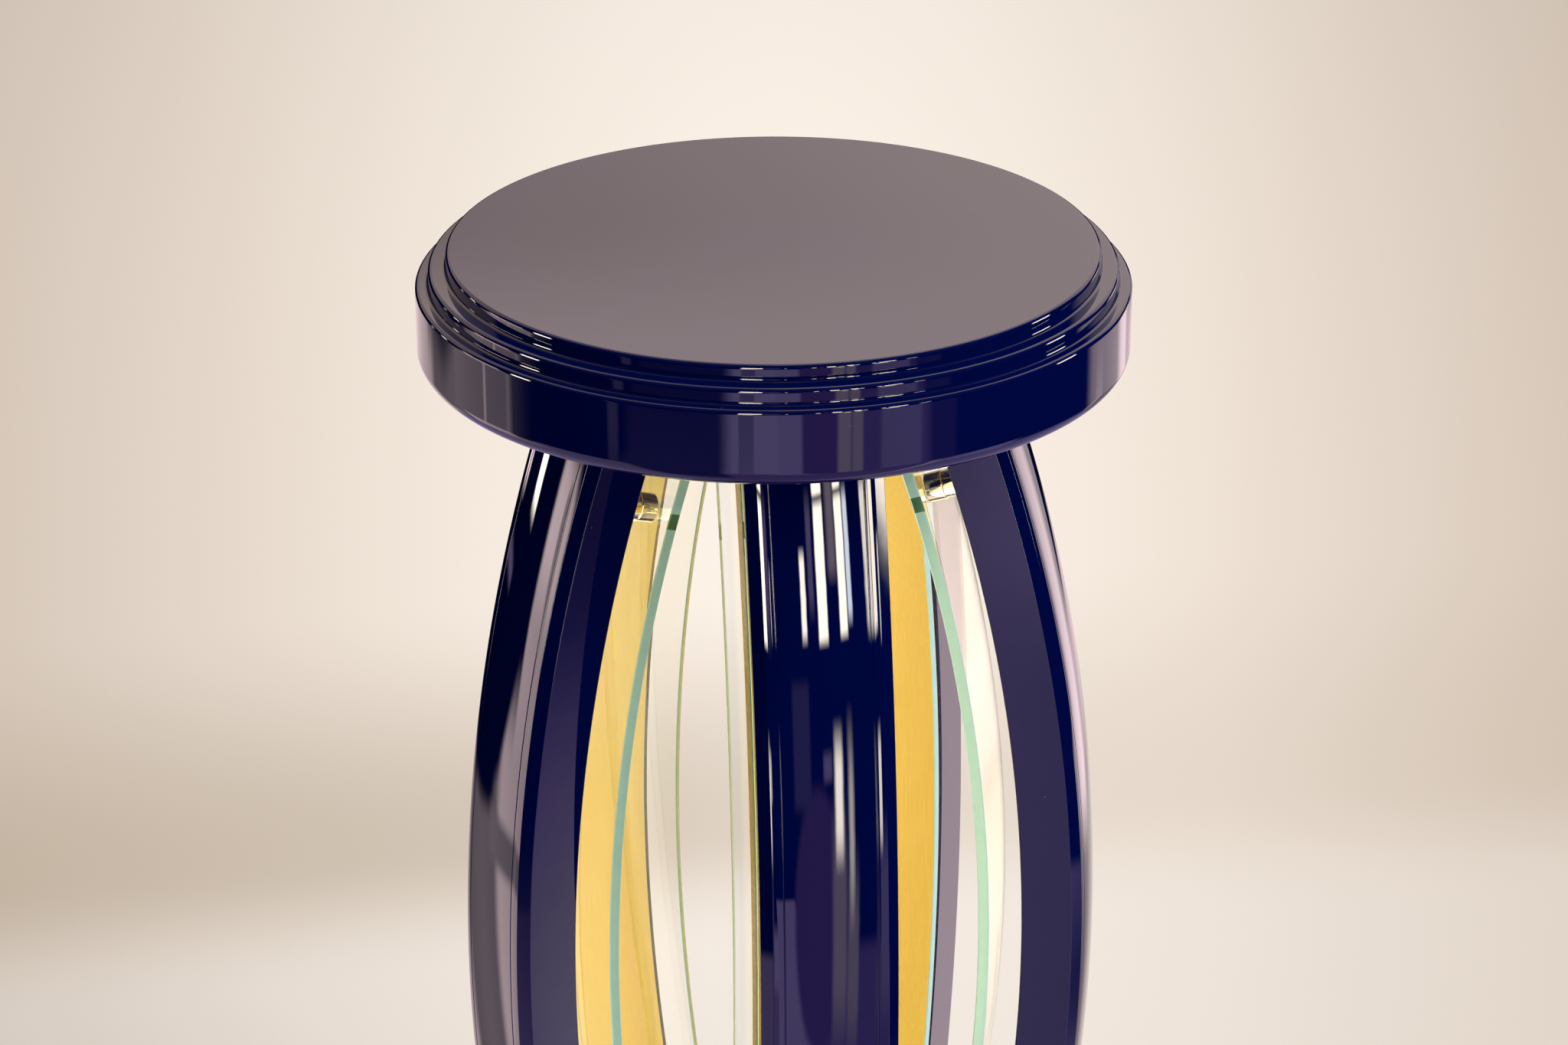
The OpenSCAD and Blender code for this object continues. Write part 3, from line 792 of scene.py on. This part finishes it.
sleeve = [(3.45, GLASS_IN), (SLEEVE_RADIUS, GLASS_IN), (SLEEVE_RADIUS, GLASS_OUT), (SCREW_HOLE, GLASS_OUT),
          (SCREW_HOLE, GLASS_IN + 1.4)]
for name, profile, is_ring, material, slot, node in (
        ("plated_barrels", barrel, True, PLATING, "polished_metal", "standoff_barrels"),
        ("plated_collars", collar, True, PLATING, "polished_metal", "standoff_collars"),
        ("countersunk_screws", screw, False, STEEL, "steel", "glass_screws"),
        ("clear_sleeves", sleeve, True, NYLON, "clear_plastic", "glass_bushes")):
    one = turned(name, profile, SMALL_SEGMENTS, closed=is_ring, along_x=True)
    all_of_them = grow(name, one, standoff_tree, LAYOUT | {"Material": material})
    hand_in(polish(all_of_them, SMALL_SHARP), slot, node)

# %% [markdown]
# ## Under the base
# A socket-head bolt and a washer sit deep in each counterbore and draw the leg down, and five felt pads
# carry the stool. Dowels and threaded inserts are sealed inside the joints. Their CAD solids already have
# the right shape, so those two only get their materials.

# %% Bolts, washers, pads and the hidden joint pieces
washer_low, washer_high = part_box("bolt_washers")[0].z / MM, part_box("bolt_washers")[1].z / MM
bolt_low, bolt_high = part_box("base_bolts")[0].z / MM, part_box("base_bolts")[1].z / MM
pad_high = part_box("floor_pads")[1].z / MM
BOLT_RADIUS, BOLT_HEAD, BOLT_KEY, WASHER_RADIUS = 4, 6.4, 3.4, 8
PAD_RADIUS, PAD_RING = 17, 148
head_top = washer_low - PLAY
bolt = [(0, bolt_low + 4.2), (BOLT_KEY, bolt_low + 3.96, "hex"), (BOLT_KEY, bolt_low + 0.2, "hex"),
        (BOLT_KEY + 0.2, bolt_low, "hex"), (BOLT_HEAD - 0.5, bolt_low), (BOLT_HEAD, bolt_low + 0.5),
        (BOLT_HEAD, head_top), (BOLT_RADIUS, head_top), (BOLT_RADIUS, bolt_high - 1), (3.2, bolt_high),
        (0, bolt_high)]
washer = rounded([(BOLT_HOLE, washer_low, 0), (WASHER_RADIUS, washer_low, 0.3),
                  (WASHER_RADIUS, washer_high, 0.3), (BOLT_HOLE, washer_high, 0)], steps=3)
pad = rounded([(0, 0, 0), (PAD_RADIUS, 0, 0.7), (PAD_RADIUS, pad_high, 0.5), (0, pad_high, 0)])
for name, profile, is_ring, out, material, slot, node in (
        ("socket_bolts", bolt, False, JOINT_RADIUS, STEEL, "steel", "base_bolts"),
        ("zinc_washers", washer, True, JOINT_RADIUS, STEEL, "steel", "bolt_washers"),
        ("felt_pads", pad, False, PAD_RING, FELT, "felt", "floor_pads")):
    one = turned(name, profile, SMALL_SEGMENTS, closed=is_ring, at=(out, 0, 0))
    ring_of_five = grow(name, one, ring_tree, {"Count": LEGS, "Material": material})
    hand_in(polish(ring_of_five, SMALL_SHARP), slot, node)
for node, material in (("dowels", BEECH), ("leg_inserts", STEEL)):
    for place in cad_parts[node].material_slots:
        place.material = material

# %% [markdown]
# ## Floor
# The stool stands on a plain pale floor that fills the whole view, as on a studio sweep. It has a painted
# pool of light, broad and soft, behind the stool, and a band of painted shade between that and the front.
# Both are painted here by the place on the floor. Nothing glossy mirrors the floor, so that what the lacquer
# shows comes only from the room that is described next.

# %% A pale floor
FLOOR_HALF = 60
# The painted pool of light runs back from the stool, and drifts to the right and widens by so much a metre.
# POOL_HALF is its half width beside the stool, and POOL_FADE times the half width is where it has faded out.
POOL_DRIFT, POOL_GROWTH, POOL_HALF, POOL_FADE = 0.178, 0.122, 0.443, 1.4
# Distances behind the stool, in metres, from far to near: the painted shade begins, is full, starts to clear
# and is gone
SHADE_BAND_FROM, SHADE_BAND_FULL, SHADE_BAND_UNTIL, SHADE_BAND_GONE = 1.3, 0.88, 0.86, 0.66
FRONT_FROM, FRONT_FULL = 0.84, 0.64
floor_corners = [(x * FLOOR_HALF, y * FLOOR_HALF, 0) for x, y in ((-1, -1), (1, -1), (1, 1), (-1, 1))]
floor_mesh = bpy.data.meshes.new("studio_floor")
floor_mesh.from_pydata(floor_corners, [], [(0, 1, 2, 3)])
floor = add_piece("studio_floor", floor_mesh)
floor.visible_glossy = False
paint, tree, shader, place = new_material("matt_warm_white_floor")
spot = add_node(tree, "ShaderNodeSeparateXYZ", {0: place})
middle = add_node(tree, "ShaderNodeMath", {0: spot.outputs["Y"], 1: POOL_DRIFT}, operation="MULTIPLY")
offset = add_node(tree, "ShaderNodeMath", {0: spot.outputs["X"], 1: middle}, operation="SUBTRACT")
wedge = add_node(tree, "ShaderNodeMath", {0: spot.outputs["Y"], 1: POOL_GROWTH, 2: POOL_HALF},
                 operation="MULTIPLY_ADD")
sideways = add_node(tree, "ShaderNodeMath", {0: offset, 1: wedge}, operation="DIVIDE")
aside = add_node(tree, "ShaderNodeMath", {0: sideways}, operation="ABSOLUTE")
falling = add_node(tree, "ShaderNodeMapRange", {"Value": aside, "From Max": POOL_FADE},
                   interpolation_type="SMOOTHSTEP")
pool = add_node(tree, "ShaderNodeMix", {0: falling, 6: linear("#ede8e3"), 7: linear("#c3b8ae")},
                data_type="RGBA")
nearer = add_node(tree, "ShaderNodeMapRange",
                  {"Value": spot.outputs["Y"], "From Min": SHADE_BAND_FROM, "From Max": SHADE_BAND_FULL},
                  interpolation_type="SMOOTHSTEP")
shade_band = add_node(tree, "ShaderNodeMapRange",
                {"Value": spot.outputs["Y"], "From Min": SHADE_BAND_UNTIL, "From Max": SHADE_BAND_GONE,
                 "To Min": nearer, "To Max": 0.0}, interpolation_type="SMOOTHSTEP")
# The painted shade is deepest on the left
leftward = add_node(tree, "ShaderNodeMapRange", {"Value": sideways, "From Min": 0.6,
                                                 "From Max": -0.3, "To Min": 0.2, "To Max": 0.6})
shade = add_node(tree, "ShaderNodeMath", {0: shade_band, 1: leftward}, operation="MULTIPLY")
# Painted shade: there the floor is mixed towards a darker tan
shaded_floor_tone = add_node(tree, "ShaderNodeMix", {0: shade, 6: pool.outputs[2], 7: linear("#afa393")},
                 data_type="RGBA")
front = add_node(tree, "ShaderNodeMapRange",
                 {"Value": spot.outputs["Y"], "From Min": FRONT_FROM, "From Max": FRONT_FULL, "To Max": 0.4},
                 interpolation_type="SMOOTHSTEP")
tone = add_node(tree, "ShaderNodeMix", {0: front, 6: shaded_floor_tone.outputs[2], 7: linear("#dddbda")},
                data_type="RGBA")
feed(tree, shader, {"Base Color": tone.outputs[2], "Roughness": 0.9, "Specular IOR Level": 0.0})
floor_mesh.materials.append(paint)
print("floor", 2 * FLOOR_HALF, "m square")

# %% [markdown]
# ## The room in the reflections
# A mirror-black object is lit by what stands round it. The world is therefore a list of soft-edged
# patches, by compass direction and height as seen from the stool: tall bright windows in front, strip
# lights at the sides, a pale floor and a pale wall behind. Only mirror-sharp reflections see them.

# %% Patches of light for the mirror finishes
# Each row: azimuth from and to, elevation from and to, blur across, blur up, lean, colour, strength.
# Azimuth 0 is in front (-Y) and grows towards +X. All angles are in degrees. The lean moves a patch along
# by that much for each degree below its top, and ROUND makes the patch an ellipse that is blurred all round
# by the blur across. A row covers what the rows before it painted.
WARM, ROSE, LILAC, VIOLET, PALE = "#fff3e2", "#ffe4e6", "#d4bcf6", "#cca2f2", "#fff1e6"
PEACH, APRICOT, BLUSH, BLACK = "#ffe2ca", "#ffe7d4", "#ffe7d8", "#000000"
ROUND = None
PATCHES = [
    # The wall behind and above, which the flat top mirrors
    (-190, 190, 31, 95, 5, 2, 0, LILAC, 0.06),
    (-190, -124, 10, 95, 3, 2, 0, PEACH, 0.86), (122, 190, 10, 95, 5, 2, 0, PEACH, 0.86),
    (122, 170.5, 10, 95, 6, 2, 0, APRICOT, 1.36), (150, 184, 21, 29, 6, 0.9, 0, BLUSH, 1.42),
    (140.8, 150.5, -23, 10, 1, 1, 0, "#fff0ec", 0.66),
    # Far below the horizon
    (-190, 190, -95, -32, 5, 4, 0, LILAC, 0.9), (-60, 50, -95, -23.2, 5, 0.6, 0, VIOLET, 0.72),
    (-57.5, -26, -58, -21, 2, 3, 0, VIOLET, 0.14), (-93, -58, -38, -23.4, 3, 0.4, 0, LILAC, 0.9),
    (42, 50, -25, -20, 1.5, 1, 0, VIOLET, 0.15), (43.5, 52, -95, -25.6, 2, 2.4, 0, LILAC, 1.15),
    (43, 47, -95, -27, 1.5, 2.6, 0, "#ffeefa", 1.7), (50, 76, -40, -23.6, 4, 0.6, 0, LILAC, 1.5),
    (-121.5, -93, -40, -29, 1.5, 1.5, 0, ROSE, 1.1),
    # The pale floor and the windows behind, as the legs see them, round a big dark thing on the left
    (-190, -140, -34, -19, 3, 0.7, 0, ROSE, 1.1), (-152, -104, -32, -19, 3, 0.7, 0, PALE, 0.2),
    (-147, -104, -32, -19, 12, 0.7, 0, ROSE, 0.62), (-121.9, -104, -27, -1.5, 0.8, 1.2, 0, ROSE, 3.1),
    (-121, -104, -8, -1.5, 0.8, 2.5, 0, ROSE, 5), (-129, -104, -33, -15, 2.5, 3, 0, ROSE, 2.6),
    (-162, -122, -21.6, 8, 1.1, 1, ROUND, BLACK, 0), (-157, -133, -21.2, 8, 2, 0.7, 0, BLACK, 0),
    (-134, -103.5, -23, -20.8, 2, 0.5, 0, ROSE, 0.8), (-116.3, -115, -25, -2, 0.3, 1, 0, ROSE, 2),
    (118, 190, -32, -23.6, 3, 1.5, 0, PALE, 0.9), (112, 190, -24, -20.8, 3, 0.6, 0, ROSE, 1.1),
    (122, 148, -32, -25, 6, 4, 0, ROSE, 0.4), (116.8, 121.5, -30, -22, 0.8, 1, 0, ROSE, 1.85),
    (130.5, 140, -24.5, -10.6, 3, 1.2, 0.6, ROSE, 2.3),
    # Lamps and window panes beside and behind
    (-135.2, -132.0, -8.0, -3.5, 0.5, 1.0, 0.1, WARM, 16), (-143.3, -141.7, -9.8, -6, 0.4, 0.9, 0, ROSE, 8),
    (-143, -138, -13, -12.2, 0.8, 0.4, 0, LILAC, 0.7), (-98, -90.5, -8, 10, 0.6, 1.5, 0, WARM, 20),
    (88, 97, -8, 8, 0.6, 1.5, 0, WARM, 14), (-64, -60.5, -23.2, -6, 0.8, 1, 0, LILAC, 0.35),
    # In front, low: a pale floor, a round dark thing and light from low windows
    (-25, -2, -31, -19.5, 3, 1, 0, LILAC, 1.65), (-25, -9, -31, -24, 3, 1, 0, LILAC, 0.85),
    (-12, -1.5, -31, -17, 0.4, 0.3, 0.62, LILAC, 1.45), (10, 41, -31, -21, 2, 1, 0, VIOLET, 0.6),
    (-1.5, 13.5, -29.5, -8.5, 0.8, 1, ROUND, "#da9bf6", 0.42), (-1, 4, -10, -0.5, 0.6, 0.8, 0, LILAC, 0.35),
    (8, 10.5, -8, -6, 0.6, 0.6, 0, LILAC, 1.5), (10.3, 14.6, -27, -12, 0.8, 4, 0, ROSE, 1.2),
    (11.4, 13.7, -13.5, -5.4, 0.6, 2.2, 0, WARM, 15), (15, 18.4, -28, -16, 0.6, 4, 0, ROSE, 1.1),
    (15.6, 17, -17, -6.2, 0.6, 4, 0, WARM, 6), (24.4, 29, -14, -6, 0.5, 1.5, 0, WARM, 12),
    (24.4, 38, -26, -14, 1, 3, 0, LILAC, 1), (-21, -16.2, -14, -6, 0.4, 2, 0, WARM, 14),
    (-21, -16.2, -24, -14, 0.4, 4, 0, LILAC, 0.7), (-16, -14.4, -9.5, -6, 0.3, 0.8, 0, WARM, 8),
    # In front, high: tall windows with a bar across
    (-20.6, -13.6, 2, 12.5, 0.4, 0.6, 0, WARM, 22), (-20.6, -13.6, 13.2, 17, 0.4, 0.3, 0, WARM, 22),
    (-13, -8, 3, 12.5, 1, 2, 0, LILAC, 1.4), (-6.4, -5.6, 3, 8, 0.2, 1, 0, WARM, 12),
    (2.8, 4.3, 2.8, 9, 0.3, 0.8, 0, WARM, 20), (5.4, 6.9, 5, 12.8, 0.4, 1.5, 0, LILAC, 1.6),
    (8, 10.9, 2.3, 12.5, 0.3, 0.6, 0, WARM, 22), (8, 10.9, 13.1, 17, 0.3, 0.3, 0, WARM, 22),
    (12, 14.4, 7, 17, 0.8, 1, 0, ROSE, 2), (14.8, 17.1, 2.4, 12.5, 0.3, 0.6, 0, WARM, 22),
    (14.8, 17.1, 13.1, 17, 0.3, 0.3, 0, WARM, 22), (17.5, 18.8, 3.5, 12.5, 0.3, 1, 0, "#e8f0ff", 14),
    (23.3, 24.6, 2, 12.5, 0.3, 1, 0, WARM, 14), (25.6, 31.5, 1.5, 12.8, 0.4, 0.8, 0, WARM, 18),
    (35.5, 39, 0, 6.5, 0.5, 1, 0, WARM, 10),
]
print(len(PATCHES), "patches of light")

# %% [markdown]
# ### From patches to a glow
# The world's nodes work out the azimuth and the elevation of each ray once. A patch is then two soft bands
# multiplied together, one for each angle, and it is mixed over the patches before it.

# %% The glow of the patches
world = bpy.data.worlds.new("Soft studio")
scene.world = world
world.use_nodes = True
room = world.node_tree
room.nodes.clear()
heading = add_node(room, "ShaderNodeTexCoord").outputs["Generated"]
direction = add_node(room, "ShaderNodeSeparateXYZ", {0: heading})
towards = add_node(room, "ShaderNodeMath", {0: direction.outputs["Y"], 1: -1.0}, operation="MULTIPLY")
bearing = add_node(room, "ShaderNodeMath", {0: direction.outputs["X"], 1: towards}, operation="ARCTAN2")
azimuth = add_node(room, "ShaderNodeMath", {0: bearing}, operation="DEGREES")
rise = add_node(room, "ShaderNodeMath", {0: direction.outputs["Z"]}, operation="ARCSINE")
elevation = add_node(room, "ShaderNodeMath", {0: rise}, operation="DEGREES")


def soft_band(angle, low, high, blur):
    """1 between two angles and 0 outside them, with a soft step at each."""
    into = add_node(room, "ShaderNodeMapRange",
                    {"Value": angle, "From Min": low - blur, "From Max": low + blur},
                    interpolation_type="SMOOTHSTEP")
    return add_node(room, "ShaderNodeMapRange",
                    {"Value": angle, "From Min": high - blur, "From Max": high + blur,
                     "To Min": into, "To Max": 0.0}, interpolation_type="SMOOTHSTEP")


def soft_ellipse(az_from, az_to, el_from, el_to, blur):
    """1 inside the ellipse that fits between four angles, and 0 outside it, with a soft rim."""
    half_width, half_height = (az_to - az_from) / 2, (el_to - el_from) / 2
    middle = ((az_from + az_to) / 2, (el_from + el_to) / 2, 0)
    rim = blur / half_width
    sides = add_node(room, "ShaderNodeCombineXYZ", {"X": azimuth, "Y": elevation})
    centred = add_node(room, "ShaderNodeVectorMath", {0: sides, 1: middle}, operation="SUBTRACT")
    scaled = add_node(room, "ShaderNodeVectorMath", {0: centred, 1: (half_width, half_height, 1)},
                      operation="DIVIDE")
    away = add_node(room, "ShaderNodeVectorMath", {0: scaled}, operation="LENGTH")
    return add_node(room, "ShaderNodeMapRange",
                    {"Value": away.outputs["Value"], "From Min": 1 + rim, "From Max": 1 - rim},
                    interpolation_type="SMOOTHSTEP")


def glowing(colour, strength):
    """A colour made as many times brighter as the strength says."""
    return [channel * strength for channel in linear(colour)[:3]] + [1]


glow = (0.0, 0.0, 0.0, 1.0)
for az_from, az_to, el_from, el_to, blur_across, blur_up, lean, colour, strength in PATCHES:
    if lean is ROUND:
        share = soft_ellipse(az_from, az_to, el_from, el_to, blur_across)
    else:
        sideways = azimuth
        if lean:
            below = add_node(room, "ShaderNodeMath", {0: el_to, 1: elevation}, operation="SUBTRACT")
            sideways = add_node(room, "ShaderNodeMath", {0: below, 1: -lean, 2: azimuth},
                                operation="MULTIPLY_ADD")
        across = soft_band(sideways, az_from, az_to, blur_across)
        up = soft_band(elevation, el_from, el_to, blur_up)
        share = add_node(room, "ShaderNodeMath", {0: across, 1: up}, operation="MULTIPLY")
    glow = add_node(room, "ShaderNodeMix", {0: share, 6: glow, 7: glowing(colour, strength)},
                    data_type="RGBA").outputs[2]
print("the glow takes", len(room.nodes), "nodes")

# %% [markdown]
# ### Who sees what
# One room can't suit every finish, so each kind of ray gets its own. Mirror-sharp reflections see the
# patches. Softer reflections, off the gold and the plating, see a plain tent of light: warm on the left,
# cool on the right, and brighter far below. The camera, and rays through the glass, see a calm pale
# backdrop. Everything else is lit softly from above, a little from the right and the front.

# %% Who sees what
path = add_node(room, "ShaderNodeLightPath").outputs
reflected = add_node(room, "ShaderNodeMath", {0: 1.0, 1: path["Is Transmission Ray"]}, operation="SUBTRACT")
mirrored = add_node(room, "ShaderNodeMath", {0: path["Is Singular Ray"], 1: reflected},
                    operation="MULTIPLY")
seen = add_node(room, "ShaderNodeMath", {0: path["Is Camera Ray"], 1: path["Is Transmission Ray"]},
                operation="MAXIMUM")
after_gloss = add_node(room, "ShaderNodeMath", {0: path["Glossy Depth"], 1: 0.5}, operation="GREATER_THAN")
facing_light = add_node(room, "ShaderNodeVectorMath", {0: heading, 1: (0.62, -0.25, 0.74)},
                        operation="DOT_PRODUCT")
soft_strength = add_node(room, "ShaderNodeMapRange", {"Value": facing_light.outputs["Value"], "To Max": 1.7})
to_right = add_node(room, "ShaderNodeMapRange",
                    {"Value": direction.outputs["X"], "From Min": -0.5, "From Max": 0.5})
raised = add_node(room, "ShaderNodeMapRange",
                  {"Value": direction.outputs["Z"], "From Min": -0.9, "From Max": -0.4})
tent_deep, tent_low = (
    add_node(room, "ShaderNodeMix", {0: to_right, 6: glowing(*on_left), 7: glowing(*on_right)},
             data_type="RGBA")
    for on_left, on_right in ((("#eafaff", 15), ("#d4d8ff", 4.6)), (("#ffe894", 4.3), ("#c8d0ff", 2.1))))
tent_glow = add_node(room, "ShaderNodeMix",
                     {0: raised, 6: tent_deep.outputs[2], 7: tent_low.outputs[2]}, data_type="RGBA")
patches = add_node(room, "ShaderNodeBackground", {"Color": glow})
tent = add_node(room, "ShaderNodeBackground", {"Color": tent_glow.outputs[2]})
backdrop = add_node(room, "ShaderNodeBackground", {"Color": linear("#f0e7db")})
shown = add_node(room, "ShaderNodeBackground", {"Color": linear("#fffaf4"), "Strength": soft_strength})
# Each of these takes the place of the one before wherever its rays are meant
for rays, light in ((seen, backdrop), (after_gloss, tent), (mirrored, patches)):
    shown = add_node(room, "ShaderNodeMixShader", {0: rays, 1: shown, 2: light})
add_node(room, "ShaderNodeOutputWorld", {"Surface": shown})
print("world has", len(room.nodes), "nodes")

# %% [markdown]
# ## Lamps
# Two large soft lamps give the matt and satin surfaces their direction: a key from the right and front, and
# a weaker one from behind, which lights the floor at the back. Neither shows in reflections, because the
# patches above already do that job.

# %% Key and back light
def soft_lamp(name, place, size, power, colour):
    """A square area lamp at a place, aimed at the middle of the stool."""
    data = bpy.data.lights.new(name, "AREA")
    data.shape = "SQUARE"
    data.size = size
    data.energy = power
    data.color = linear(colour)[:3]
    lamp = bpy.data.objects.new(name, data)
    lamp.location = place
    lamp.rotation_euler = (Vector((0, 0, MIDDLE * MM)) - Vector(place)).to_track_quat("-Z", "Y").to_euler()
    lamp.visible_glossy = False
    lamp.visible_transmission = False
    scene.collection.objects.link(lamp)


soft_lamp("key", (3.0, -2.5, 3.1), 2.0, 62, "#fff5ea")
soft_lamp("back light", (0.3, 1.9, 3.0), 2.4, 23, "#fff7f0")
print("two lamps")

# %% [markdown]
# ## Camera
# A long lens, about three and a half metres away and above the seat, looks down at the stool so that its
# lower half is out of the picture. Its place and its three turns come from a fit to the photograph. Blender
# wants the camera's axes as a matrix, so they are built from those turns.

# %% The camera
CAMERA_PLACE = (-0.48935, -2.81051, 1.83594)
PITCH, YAW, ROLL, ROUND_THE_STOOL = 23.257, 0.107, -0.099, -9.877
SENSOR_WIDTH, FOCAL_LENGTH = 36, 131.98
pitch, yaw, roll = (math.radians(angle) for angle in (PITCH, YAW, ROLL))
ahead = Vector((math.sin(yaw) * math.cos(pitch), math.cos(yaw) * math.cos(pitch), -math.sin(pitch)))
level = Vector((math.cos(yaw), -math.sin(yaw), 0))
upright = level.cross(ahead)
right = level * math.cos(roll) + upright * math.sin(roll)
upright = upright * math.cos(roll) - level * math.sin(roll)
turn = Matrix.Rotation(math.radians(ROUND_THE_STOOL), 3, "Z")
axes = Matrix([turn @ right, turn @ upright, turn @ -ahead]).transposed()
lens = bpy.data.cameras.new("camera")
lens.sensor_width = SENSOR_WIDTH
lens.lens = FOCAL_LENGTH
camera = bpy.data.objects.new("camera", lens)
camera.matrix_world = Matrix.Translation(CAMERA_PLACE) @ axes.to_4x4()
scene.collection.objects.link(camera)
scene.camera = camera
scene.view_settings.view_transform = "Standard"
print("camera", round(Vector(CAMERA_PLACE).length, 2), "m from the origin, lens", FOCAL_LENGTH, "mm")
